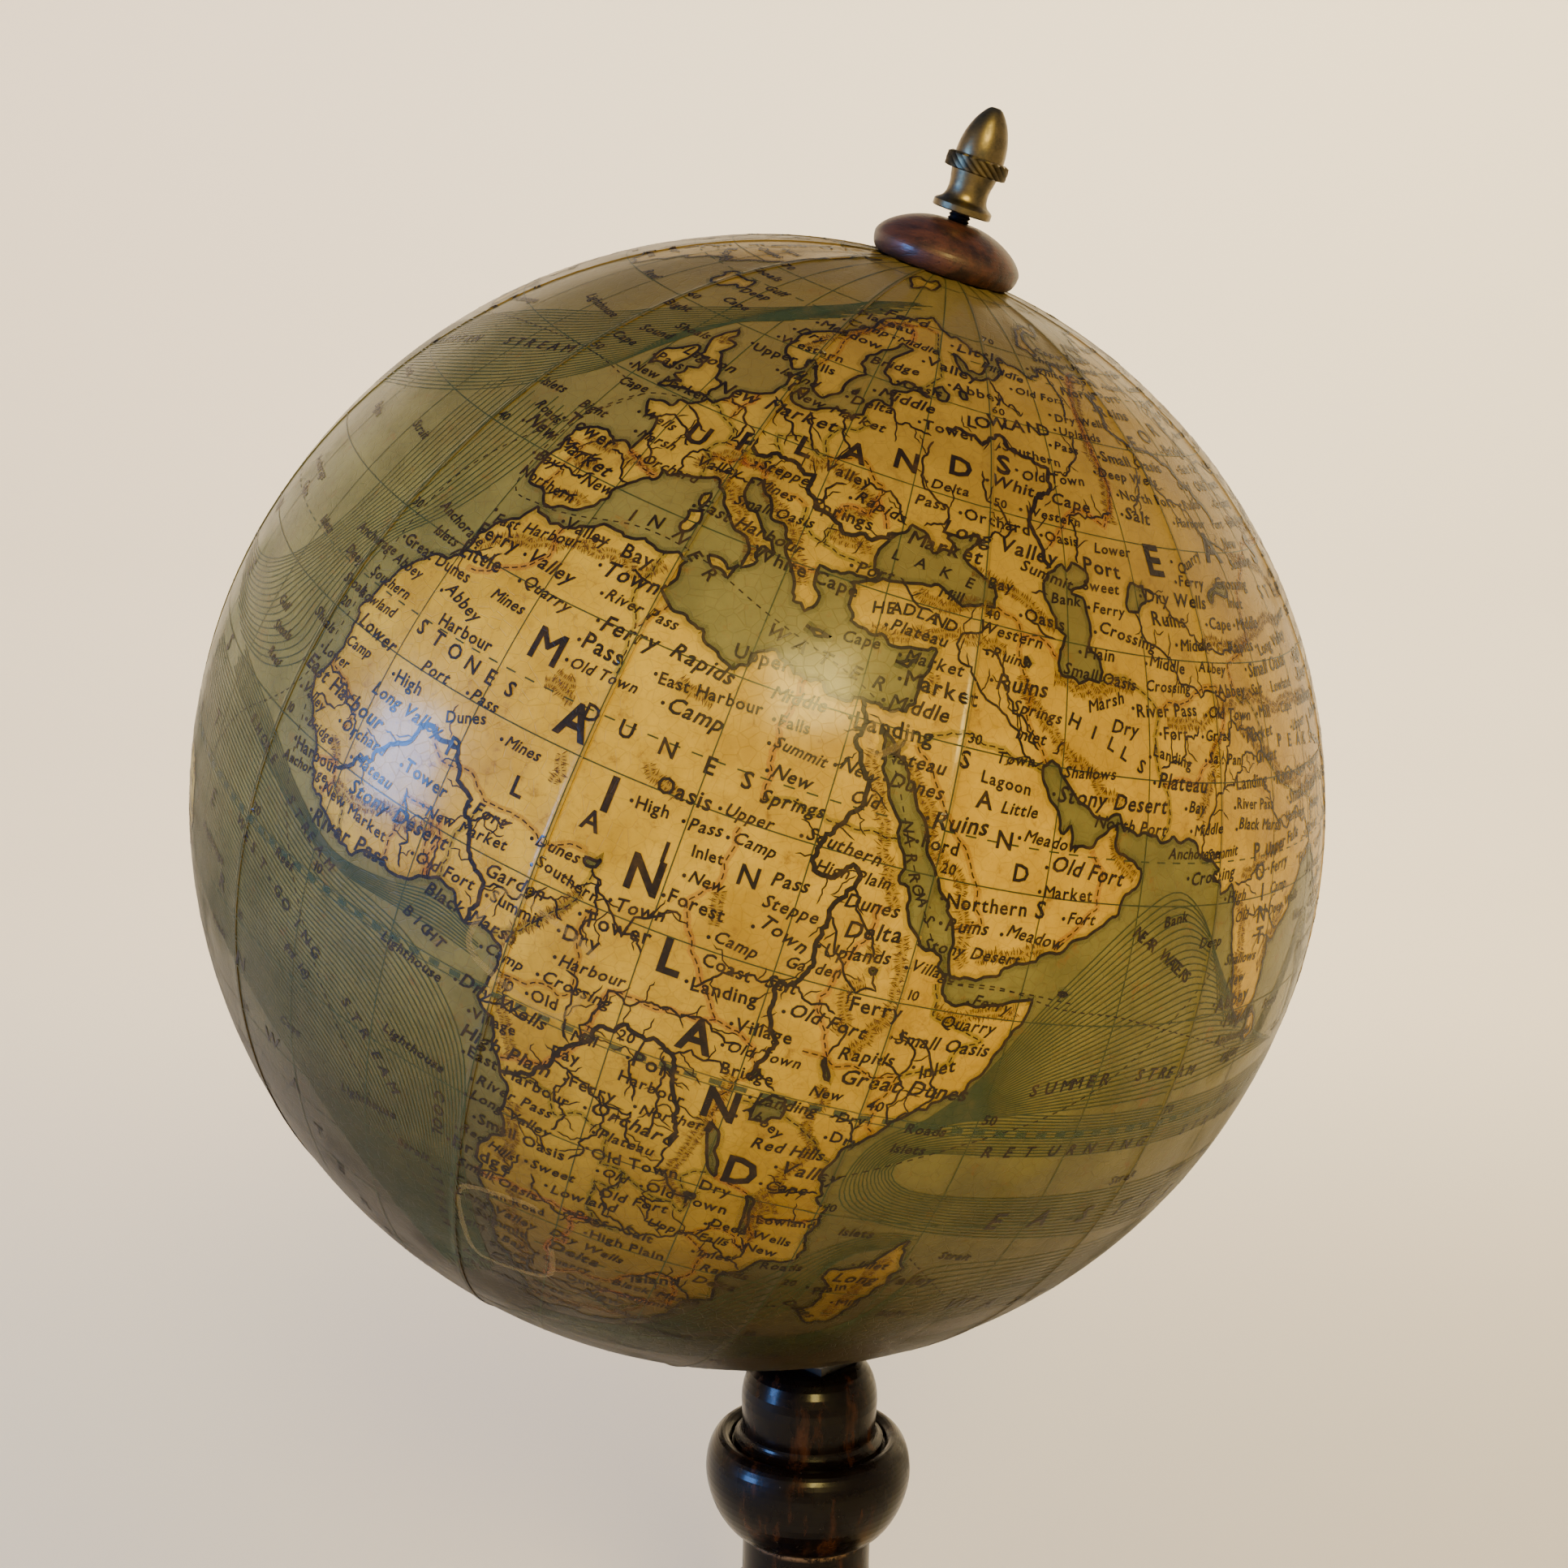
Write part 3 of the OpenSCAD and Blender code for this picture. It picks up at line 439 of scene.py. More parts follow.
grid_step = 2.4
hole_lat = 90 - math.degrees(math.asin(pole_hole / ball_r))
seam_rows = np.linspace(-hole_lat, hole_lat, 81)
for number, name in enumerate(GORES):
    west = first_seam + 30 * (number - 1)
    lap = np.degrees(lap_width / (ball_r * np.maximum(np.cos(np.radians(seam_rows)), 0.02)))
    columns = []
    for fraction, seam_grime in ((0, 0.75), (0.7, 0.12), (1.8, 0.0)):
        columns.append((west + fraction * lap, seam_grime))
    for fraction, seam_grime in ((-1.6, 0.0), (-0.9, 0.1), (-0.3, 0.2), (0.0, 0.3), (0.85, 0.55)):
        columns.append((west + 30 + fraction * lap, seam_grime))
    flat = [np.stack([lon, seam_rows], -1) for lon, seam_grime in columns]
    dirt = [np.full(len(seam_rows), seam_grime) for lon, seam_grime in columns]
    edges = []
    rows = len(seam_rows)
    for column in (0, len(columns) - 1):
        edges += [(column * rows + n, column * rows + n + 1) for n in range(rows - 1)]
    for row in (0, rows - 1):
        edges += [(n * rows + row, (n + 1) * rows + row) for n in range(len(columns) - 1)]
    inner = []
    for lat in np.arange(-87, 87.1, grid_step):
        spare = 2.6 * math.degrees(lap_width / (ball_r * math.cos(math.radians(lat))))
        count = max(1, round(30 * math.cos(math.radians(lat)) / grid_step))
        lon = west + spare + (30 - 2 * spare) * (np.arange(count) + 0.5) / count
        inner.append(np.stack([lon, np.full(count, lat)], -1))
    flat += inner
    dirt.append(np.zeros(sum(len(part) for part in inner)))
    flat, dirt = np.vstack(flat), np.concatenate(dirt)
    low, high = west + 0.02, west + 29.98
    for shift in (-360, 0, 360):
        first, second = shore_from + [shift, 0], shore_to + [shift, 0]
        near = np.minimum(first[:, 0], second[:, 0]) < high
        near &= np.maximum(first[:, 0], second[:, 0]) > low
        near &= (np.abs(first[:, 1]) < hole_lat) & (np.abs(second[:, 1]) < hole_lat)
        first, second = first[near], second[near]
        for begin, end in ((first, second), (second, first)):
            run = end - begin
            for limit in (low, high):
                outside = (begin[:, 0] < limit) if limit == low else (begin[:, 0] > limit)
                eastward = np.where(run[:, 0] == 0, 1, run[:, 0])
                share = np.where(outside, (limit - begin[:, 0]) / eastward, 0)
                begin += share[:, None] * run
        edges += [(len(flat) + 2 * n, len(flat) + 2 * n + 1) for n in range(len(first))]
        flat = np.vstack([flat, np.stack([first, second], 1).reshape(-1, 2)])
        dirt = np.concatenate([dirt, np.zeros(2 * len(first))])
    cut = delaunay_2d_cdt([Vector(p) for p in flat], edges, [], 0, 1e-5)
    spots = np.array([tuple(p) for p in cut[0]])
    faces = [tuple(face) for face in cut[2]]
    middles = spots[np.array(faces)].mean(1)
    east_seam = west + 29.999
    corners = on_ball(np.minimum(spots[:, 0], east_seam), spots[:, 1])
    over = spots[:, 0] > east_seam
    corners[over] = on_ball(spots[over, 0], spots[over, 1])
    starts = (spots[:, 0] - west) < 1.2 * np.degrees(
        lap_width / (ball_r * np.maximum(np.cos(np.radians(spots[:, 1])), 0.02))
    )
    tucked = on_ball(spots[starts, 0], spots[starts, 1])
    outward = tucked - np.array(ball_centre)
    outward /= np.linalg.norm(outward, axis=1)[:, None]
    corners[starts] = np.array(ball_centre) + outward * ball_r
    gore = new_piece(name + "_print", corners.tolist(), faces, map_print.material)
    gore.data.attributes.new("grime", "FLOAT", "POINT")
    source = [min(ids) if ids else 0 for ids in cut[3]]
    gore.data.attributes["grime"].data.foreach_set("value", dirt[source])
    gore.data.attributes.new("land", "FLOAT", "FACE")
    ashore = on_land(middles[:, 0], middles[:, 1]).astype(float)
    gore.data.attributes["land"].data.foreach_set("value", ashore)
    only(gore)
    bpy.ops.object.mode_set(mode="EDIT")
    bpy.ops.mesh.select_all(action="SELECT")
    bpy.ops.mesh.delete_loose()
    bpy.ops.mesh.select_all(action="SELECT")
    bpy.ops.mesh.normals_make_consistent(inside=False)
    bpy.ops.object.mode_set(mode="OBJECT")
    centre_face = gore.data.polygons[0]
    if centre_face.normal.dot(centre_face.center - ball_centre) < 0:
        gore.data.flip_normals()
    sheet = gore.modifiers.new("paper", "SOLIDIFY")
    sheet.thickness = paper_thick
    sheet.offset = -1
    bpy.ops.object.modifier_apply(modifier=sheet.name)
    bpy.ops.object.shade_smooth_by_angle(angle=math.radians(40))
    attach(gore, "ball")
    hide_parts(name)

# The printer's ink on the gores: shore lines, rivers, frontiers, the degree net and the equator.
# It is drawn as thin flat strips a few hundredths of a millimetre above the paper.
ink_lift = 0.00008
ink_finishes = {}


def ink(name, colour, alpha=1.0):
    """Printed ink of one colour under the same varnish as the paper, worn lighter in places."""
    if name not in ink_finishes:
        finish = Finish(name)
        varnish(finish)
        worn = finish.between(finish.noise(0.006, 5, 0.7), 0.42, 0.8)
        light = tuple(c + (b - c) * 0.2 for c, b in zip(colour, rgb(120, 88, 40)))
        finish.set("Base Color", finish.mix(worn, colour, light))
        if alpha < 1:
            finish.set("Alpha", alpha)
        ink_finishes[name] = finish.material
    return ink_finishes[name]


def evenly(line, step):
    """The same line with points about this many degrees apart along the ball."""
    run = np.diff(line, axis=0)
    length = np.hypot(run[:, 0] * np.cos(np.radians((line[:-1, 1] + line[1:, 1]) / 2)), run[:, 1])
    along = np.concatenate([[0], np.cumsum(length)])
    count = max(2, int(round(along[-1] / step)) + 1)
    at = np.linspace(0, along[-1], count)
    return np.stack([np.interp(at, along, line[:, 0]), np.interp(at, along, line[:, 1])], -1)


def curve(line, step=0.9):
    """A smooth curve through a few places, with even points."""
    before, after = 2 * line[0] - line[1], 2 * line[-1] - line[-2]
    p = np.vstack([before, line, after])
    out = []
    for n in range(1, len(p) - 2):
        t = np.linspace(0, 1, 12, endpoint=False)[:, None]
        a, b, c, d = p[n - 1], p[n], p[n + 1], p[n + 2]
        bend, twist = 2 * a - 5 * b + 4 * c - d, 3 * b - a - 3 * c + d
        out.append(0.5 * (2 * b + (c - a) * t + bend * t**2 + twist * t**3))
    return evenly(np.vstack([*out, line[-1:]]), step)


def dashed(line, dash, gap, step=0.3):
    """Pieces of a line with gaps between them, in degrees along the ball."""
    line = evenly(line, step)
    on, every = max(1, round(dash / step)), max(2, round((dash + gap) / step))
    return [line[n : n + on + 1] for n in range(0, len(line) - on, every)]


def strips(name, lines, width, finish, lift=ink_lift, ends=1.0):
    """One piece of flat strips, this many millimetres wide, along lines of places."""
    verts, faces, start = [], [], 0
    for line in lines:
        if len(line) < 2:
            continue
        points = on_ball(line[:, 0], line[:, 1], lift)
        along = np.gradient(points, axis=0)
        out = points - np.array(ball_centre)
        side = np.cross(along, out)
        side /= np.maximum(np.linalg.norm(side, axis=1), 1e-9)[:, None]
        half = np.full(len(points), width * 0.0005)
        half[0] *= ends
        half[-1] *= ends
        verts += (points + side * half[:, None]).tolist() + (points - side * half[:, None]).tolist()
        count = len(points)
        for n in range(start, start + count - 1):
            faces.append((n, n + 1, n + count + 1, n + count))
        start += 2 * count
    made = new_piece(name, verts, faces, finish)
    only(made)
    bpy.ops.object.shade_smooth()
    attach(made, "ball")
    return made


def wet(line):
    """The parts of a line that cross water."""
    dry = on_land(line[:, 0], line[:, 1])
    cuts = np.flatnonzero(np.diff(dry.astype(int))) + 1
    return [part for part, on in zip(np.split(line, cuts), np.split(dry, cuts)) if not on[0] and len(part) > 2]


dark_ink, sea_ink = rgb(22, 14, 8), rgb(42, 52, 26)
strips("shore_fringe", shores, 2.6, ink("shore_wash", rgb(40, 54, 26), 0.16), 0.00003)
strips("shore_lines", [evenly(line, 0.35) for line in shores[:-1]], 0.74, ink("black_ink", dark_ink))
strips("antarctic_shore", [shores[-1][shores[-1][:, 1] > -79]], 0.6, ink("black_ink", dark_ink))

net = []
for lon in range(-180, 180, 10):
    net.append(np.stack([np.full(150, lon), np.linspace(-84, 84, 150)], -1))
for lat in (*range(-80, 0, 10), *range(10, 90, 10)):
    net.append(np.stack([np.linspace(-180, 180, 361), np.full(361, lat)], -1))
strips("degree_net", net, 0.30, ink("green_ink", sea_ink), 0.00005)
tropics = []
for lat in (-66.5, -23.5, 23.5, 66.5):
    tropics += dashed(np.array([[-180.0, lat], [180.0, lat]]), 1.0, 0.8)
strips("tropics", tropics, 0.34, ink("green_ink", sea_ink), 0.00006)
around = np.array([[-180.0, 0.0], [180.0, 0.0]])
strips("equator_bands", dashed(around, 1.0, 1.0, 0.25), 1.3, ink("teal_ink", rgb(44, 62, 44), 0.7), 0.00006)
for side in (-0.36, 0.36):
    name = "equator_north" if side > 0 else "equator_south"
    strips(name, [evenly(around + [0, side], 0.8)], 0.3, ink("teal_ink", rgb(44, 62, 44), 0.7), 0.00007)

RIVERS_BOLD = """30.4,31.4 31.2,30 30.8,28.2 31.7,26.8 32.8,25.7 32.9,24 31.3,21.8 30.4,20 30.5,18.2 32,18
    33.4,19.4 34,17.8 32.6,15.6 32.4,13.2 32.7,11.5 31.8,9.6 30.6,9.3 30.7,7.5 31.6,5 31.5,3.2 31,1.9 /
    12.3,-6.1 14,-5.4 15.3,-4.3 16.3,-2.5 17.8,-.8 18.8,1.2 20.8,2.2 23,1.9 25,.8 25.5,-1.5 26.3,-4
    26.8,-7 / 6,4.4 6.6,6.5 6.5,8 4.6,9.5 3.5,11.8 1.5,14 0,16.3 -3,16.8 -4.5,14.8 -7,12.8 -10.5,9.5 /
    29.6,45.2 27.5,44.2 24,43.7 22.5,44.6 20.4,44.9 19,46 18.8,47.8 16.4,48.2 13.5,48.5 9.5,48.2 / 48,46
    46.5,48.3 45.5,50.5 48.5,53 49.2,55.7 45,56.3 41,57.8 36,57 33,57 / 72,67 66,66 66,62 69,61 76,60
    82,56 84,53 / 126.5,72.5 124,67 129.5,62.5 121,60 113,59 107,54.5 / 118.5,37.8 114,35 110.5,34.7
    110.5,40 106.5,39 103.5,36 98,34.5 / 121.5,31.6 117,30.8 112,30 106.5,29.4 101.5,26 99,30 94,34 /
    -50.5,-.5 -55,-2.2 -60,-3.2 -65,-3 -70,-3.9 -77,-8 / -89.5,29.3 -91,31.5 -89.5,36 -91,40.5 -93.5,45
    -95,47.3"""
RIVERS = """32.6,15.6 33.8,13.2 35,11.5 36.5,10 38,10.5 37.4,11.8 / 34,17.8 35.8,15 37,13 / 30.6,9.3 28,9
    26,8.3 24.5,7 / 31.6,9.5 33.5,8.3 35.5,8 / 31,2 33,.6 / 6.7,7.8 9.5,8 12.5,9.2 13.5,8 / -16.5,16
    -13.5,15.5 -11,14 -10.5,12 / -16.6,13.4 -13.5,13.3 / 26.8,-7 26.3,-9.5 28.5,-11.5 30,-10.8 / 17.8,-.8
    18,2 18.6,4.3 21.5,4.5 23.5,4.7 27,4 29.5,3.5 / 16.2,-3.1 18,-3.8 20.5,-4.8 21.3,-7.5 20.5,-10.5
    19.5,-11.8 / 20.5,-4.4 23.2,-5 23.8,-8.5 / 17.5,-3.4 17,-6 17.5,-9.5 / 23.6,1.2 26,2 29,1.2 / 24.2,.8
    24.5,-2.5 25,-6.5 / 22.4,1.6 22,-1.5 23,-4 / 16.8,-1 16.2,2 15,4.5 / 9,-1 11,-.5 12.8,-1 / 13.4,-9.3
    15.5,-9.8 17.5,-12 / 11.8,-17.2 14.5,-16.8 15.5,-13.5 / 16.5,-28.6 19,-28.9 21.5,-28.5 24,-29.3
    27,-30.3 / 23.8,-29 26,-27.5 29.5,-26.6 / 18,-28.6 18.3,-25 17.5,-22.5 / 33.4,-25 31.5,-22.4 29,-22.3
    27,-24 / 36.2,-18.7 34.5,-17.5 32.8,-15.8 30,-15.6 27.8,-17 25.8,-17.8 23.5,-16.5 23,-13.5 24,-11.5 /
    28.8,-15.9 27,-15.5 26,-13 28,-12.7 / 25.4,-17.8 21.5,-18 18.5,-17.6 16.8,-15 / 31,-15.6 32.5,-13 /
    35.2,-17.5 35,-14.4 / 40.4,-10.5 37.5,-11.5 35.5,-11.6 / 39.4,-8 37.5,-8 35.5,-8.8 / 40.4,-2.5
    39.5,-.5 37.8,-.5 / 42.6,-.3 42.4,2 42,4.2 39.8,5.3 / 42,4.2 42.5,6.5 41,8 / 42.8,.2 44.5,1.7 45.5,3.2
    44.5,5 42.5,7.5 / 36,4.7 36.5,7.5 / 14.3,12.9 16.5,10.5 18.5,9 20,8 / 15,12.1 15.8,9.5 15.5,7.5 /
    18.4,9 20,11 22,11.4 / -11,28.7 -7,29.7 -6,31 / 3.6,11.8 5,13 7,13.2 / 1.4,6 1.5,9 / -1,5.6 -1.5,9
    -3,11.5 / -7.5,33.3 -6,32.5 / 3,35.6 1,35.3 / 9,34 6.5,34.4 / 4.2,51.9 6.6,51.5 8.2,50 7.8,48 9,47.6 /
    9,53.8 11.8,52.5 13.7,51 15,50.3 / 14.3,53.6 15.5,52 18,50 / 18.9,54.3 19.5,52.7 21.8,51 20,50 /
    30.3,46.2 28.5,48.2 24.5,49.3 / 32.3,46.6 35,48 31.5,50 30.5,52.5 31.5,55 / 39.3,47.2 42.5,48 43.5,49
    40,50.5 38.8,53.5 / 49.5,55.3 54,57 56,60 / 51.8,47 51.4,51 55,51.6 59,52.5 / 40.5,64.5 43,62 46,61 /
    54,68 57,65.5 56,62 / -2,47.2 1.5,47.5 3.8,46 / .2,49.5 2.3,48.8 4.5,47.8 / -1,45.4 .8,44 1.2,43 /
    4.7,43.4 4.8,45.7 6.5,46.3 / .8,40.8 -1,41.7 -3.5,42.8 / -9,38.9 -6,39.7 -3,40.2 / -8.6,41.1 -6,41.4
    -3.5,41.6 / -6.3,36.9 -4.5,37.9 -3,38 / 12.3,45 9.5,45.1 7.5,44.9 / 20.4,44.9 20.5,47 22.5,48 /
    24,57.2 27,56 31,55.5 / 45.5,41 48.5,40 / 45.5,43.5 47.5,43.6 / 31,41.6 33,40 35,39.6 / 48,30.2
    45.5,31.3 43,33.5 40.5,35 38.3,36.5 38.5,38.7 41,39.7 / 47.4,31 46,32.7 44.4,33.4 43,36.3 40.5,37.8 /
    61,46 64.5,44.8 67.5,43 69,41 72,41 76,41.5 / 59.3,43.6 61.5,41 65,38 68,37 71.5,37 73.5,37.2 /
    48.8,31 50,32 / 67.5,24 68.3,27 70.8,30 71.5,33 73,35.2 77,34.5 80.5,32 / 70.8,29.5 74,31 77,32 /
    61.5,31 64,31.5 67,34.5 / 90.3,23 87.5,25.4 83,25.3 80,27 78,30 / 90,23.5 91,26 95,27.8 94,29.4
    88,29.3 82.5,30.2 / 72.8,21.7 78,23 / 82,16.8 79,18.8 75,19.6 / 80.8,15.8 77,16.5 / 69,61 70,57 74,55
    78,51.5 84,48.5 / 68.5,58 66,55 63,53 / 83,71.5 86.5,67 89,63 91,58 92.5,54 94,52 / 88,66 95,65 100,64
    / 91,58.3 98,58 103,57 105,53 / 141,53 136,49.5 131,47.8 127.5,50 121,53 / 129,63.5 134,60 / 106,9.8
    105.5,14 102,18 100.5,21 98,28 / 95,16 95,20 97,25 / 139.3,-35.5 142,-34.2 146,-36 / 142,-34.1 145,-30
    149,-28 / -90.3,38.8 -95,39.3 -98,43 -101,47 -107,48 -111.5,46.5 / -89.2,37 -85,38.3 -80,40.5 /
    -67,49.2 -71,46.9 -76,44.3 / -91.5,34 -97,35.5 -104,38 / -135,68.8 -126,65 -121,61.8 -114,61 /
    -163,62.5 -156,64.8 -146,66.3 -139,64 -134,61 / -97,57 -93,57 / -97.2,26 -101,29.6 -106.5,31.8
    -106.8,36 / -114.8,32 -112.5,36.2 -109,39 / -124,46.2 -119,46 -118,51 / -97.5,52 -105,53 -113,52 /
    -58.8,-3.4 -63,-8 -66,-12 / -60,-3.1 -64,-.5 -67,2 / -61,9 -66.5,7.8 -67.5,4 -65,2.5 / -49,-1.8
    -48.5,-8 -49,-14 / -36.5,-10.5 -41,-9 -44.5,-15 -46,-20 / -58.5,-34 -60.5,-31.5 -57,-27.3 -54,-23
    -50,-19.8 / -58.7,-27.3 -57.7,-22 -57,-16 / -55,-2.5 -56.5,-7 -58,-12 / -63,-41 -68,-38"""
FRONTIERS = """-2,35 -1.5,32.5 -4,30.5 -8.5,28.7 / 8.5,37 8.2,34.5 7.8,33 9.5,30.5 9.8,26.5 / 11.3,33.1
    10.2,31.5 9.5,30.5 / 25,31.6 24.8,29.3 25,22 / 25,22 31.3,22 36.8,22 / -3,17 -1,14.8 2,15.2 4,13.7
    8,13.7 9.5,12.9 13.5,13.8 / 24,19.5 24,15.7 22,13 23.5,9.5 27,5 30.5,3.6 / 8.5,4.7 11.5,7 14,10
    14.5,12.5 / 9.8,2.2 15,2.2 16,3 15,7.5 15.5,10 / 12,-5 13,-4.5 15.5,-4 17.8,-.7 18.6,4.2 22.5,4.2 27,5
    / 12.5,-6 16.5,-6 17.5,-8 21.8,-7.5 22,-11 24,-11 25.5,-12 28.5,-12.5 29.5,-13.3 29.7,-12.2 28.5,-9.5
    30.5,-8.3 / 29.3,-4.5 29.2,-1 31,2.3 30.5,3.6 / 11.8,-17.3 14,-17.4 18.5,-17.4 23,-17.6 21,-18.3
    21,-22 20,-22 20,-28.5 / 24,-11 24,-13 22,-13 22,-16.2 23,-17.6 25.3,-17.8 / 20,-26.8 22.8,-25.6
    25.6,-25.6 27,-24 29.4,-22.2 31.3,-22.4 32,-24.5 32,-26.8 / 25.3,-27.8 28,-27 29.7,-26.9 30.8,-27.3 /
    24.6,-29.5 27.2,-30.7 28.7,-28.8 29.4,-27.6 / 31.3,-22.4 32.6,-20.5 33,-17.5 31,-16 30.4,-15.6
    33.2,-14 34.5,-14.5 35.8,-16 35.9,-14 34.8,-11.6 37.5,-11.7 40.4,-10.5 / 34,-9.5 32.5,-9 31,-8.5 /
    39.2,-4.6 37.5,-3 34,-1 30.5,-1 / 34,4.5 36,4.4 39.5,3.7 41.8,4 41,-.8 41.6,-1.6 / 36.5,17 36,14 35,12
    34,8 36,4.5 / 42.5,12 43,9.5 47.8,8 44.9,5 41.8,4 / -11.5,12.4 -11.3,14.8 -16.4,16.3 / -13.2,9 -11,10
    -10.4,8.4 -11.4,7 / -10.4,8.4 -8.4,7.5 -7.5,4.4 / -3,5.1 -2.8,9.5 -2.8,11 0,11 .5,8.5 1.2,6.1 /
    1.6,6.2 1.6,9.2 .8,11 / 2.7,6.3 2.7,9 3.6,11.7 4,13.5 / -8.8,41.9 -6.6,41.9 -6.9,40 -7,38 -7.4,37.2 /
    -1.7,43.4 .6,42.7 3.1,42.4 / 2.5,51.1 4.5,50 6.2,49.5 7.5,48.8 7.5,47.6 6,46.3 7,45.7 7.5,43.8 /
    7.5,47.6 9.6,47.5 10.4,46.8 8.5,46 7,45.9 / 10.4,46.6 12.3,46.8 13.6,46.4 13.6,45.8 / 9.6,47.5 13,47.6
    13.8,48.7 12.3,50.2 14.8,50.9 17,50.2 19,49.9 18,51.5 19,53 22.8,54.5 21.2,55.3 / 3.4,51.3 6,51.3
    6.2,49.8 / 7,53.3 7,52.3 6,51.3 / 8.6,54.9 9.9,54.9 / 19,49.9 23.5,50.8 26.5,49 26.8,48 / 22.5,44.5
    23,46 26,46 26.3,48 28,46 28.3,45.3 / 22.7,44.2 22.5,42.3 21,42.6 19.5,43.5 19.3,44.8 / 16.2,45
    19.3,44.8 / 20,39.7 22,39.8 22.8,40 / 22.5,42.3 26,41.8 28,42 / 11.3,59 12.5,61 12.3,63.5 15,66
    18,68.5 22,69 25,69.7 29,69.2 / 24,65.9 23.8,67.8 22,69 / 29,69.2 29.8,66 31.2,62.8 28,60.6 /
    41.6,41.5 43.6,41 44.5,39.8 44.8,37.3 46,35 46,33 47.8,31 48.4,30 / 44.8,39.6 48,39.2 48.8,38.5 /
    53.9,37.3 57,38 60,36.6 61.2,35.6 60.7,33.5 61,31.4 61.7,29.8 62.8,27.3 61.7,25.1 / 61.2,35.6
    64.5,36.3 67,37.3 71,38 71.5,36.8 74.5,37.3 / 61.7,29.8 66,29.8 67.5,31.3 69.5,33 71,34.3 71.5,36.3 /
    74.5,37.2 78,35.5 79,32 81,30.2 85,28.2 88.8,27.5 92,27.5 96.5,28.4 97.5,25 98.8,23.5 / 74.5,37.3
    74,40 80,42.2 80.5,45 83,47 87,49.2 92,50.7 98,50.5 103,50.3 108,49.5 116,49.8 120,53 126,52.5
    131,47.8 134.5,48.3 131,43 / 66,69 60,65 59,60 60,55 57,51 51.5,51.5 48,48 / 48,29.5 44,30.5 40,31
    36,29.3 / 42.8,16.4 45,17.2 44,19.5 40.5,24 38,27.5 36,29.3 / 52,16 55.5,19.5 55.5,22.5 54,24 /
    98.5,16 98,19 101,21 102,17.8 105,16 104.5,13 102.8,11.6 / 103,22.5 106.5,22.8 108,21.6 / -123,49
    -95,49 -89,48 / -79,43 -76,44.4 -71.3,45.2 -69,47.3 -67.3,45.2 / -141,60 -141,69.6 / -117,32.5
    -111,31.3 -106.5,31.8 -103,29 -99.5,27.5 -97.2,26 / -92.2,14.6 -91,17.5 -89,18 / -71.5,12 -72.3,8
    -67.5,6 -67,1.5 -64,2 -60.5,5 -57,2 -52,4 / -67,1.5 -69.5,-4 -73,-8 -70,-11 -65,-12 -60,-16 -58,-20
    -55,-24 -54,-27 -57.5,-30 -53.5,-33.5 / -70,-18 -68,-23 -70,-33 -72,-43 -73,-50 -69,-52.3 / -69,-11
    -69.5,-17 -68,-22 / -80,-3.5 -75,-2 -73,-3 / -62.5,-22 -57.7,-25 -58.5,-27.3 / 129,-15 129,-31.5 /
    138,-16.5 138,-26 141,-26 141,-37.8 / 129,-26 138,-26 / 141,-29 152,-28.5 / 142,-34.5 149,-37"""


def several(text, wiggle, step):
    """Lines with a slash between them, each made to wander."""
    return [wander(places(part), wiggle, step, rng) for part in text.split("/")]


strips("great_rivers", several(RIVERS_BOLD, 0.13, 0.45), 1.1, ink("black_ink", dark_ink), ends=0.5)
small_rivers = several(RIVERS, 0.13, 0.45)
side_streams = []
for river in small_rivers + several(RIVERS_BOLD, 0.13, 0.45):
    for n in range(5, len(river) - 5, 6):
        side = 1 if rng.random() < 0.5 else -1
        run = river[n + 1] - river[n]
        away = np.array([-run[1], run[0]]) * side / max(np.hypot(*run), 1e-6)
        reach = rng.uniform(0.9, 2.2)
        end = river[n] + away * reach + run / max(np.hypot(*run), 1e-6) * reach * rng.uniform(0.3, 1.0)
        if on_land([end[0]], [end[1]])[0]:
            side_streams.append(wander(np.array([river[n], end]), 0.14, 0.5, rng))
strips("rivers", small_rivers, 0.55, ink("black_ink", dark_ink), ends=0.4)
strips("streams", side_streams, 0.32, ink("black_ink", dark_ink), ends=0.3)
frontiers = several(FRONTIERS, 0.08, 0.8)
washes = (("rose_wash", rgb(150, 66, 44)), ("green_wash", rgb(70, 78, 26)), ("buff_wash", rgb(140, 78, 22)))
for n, (name, colour) in enumerate(washes):
    strips(name, frontiers[n::3], 1.6, ink(name, colour, 0.24), 0.00004)
frontier_dashes = [part for line in frontiers for part in dashed(line, 0.5, 0.25, 0.25)]
strips("frontier_lines", frontier_dashes, 0.3, ink("black_ink", dark_ink), 0.00007)

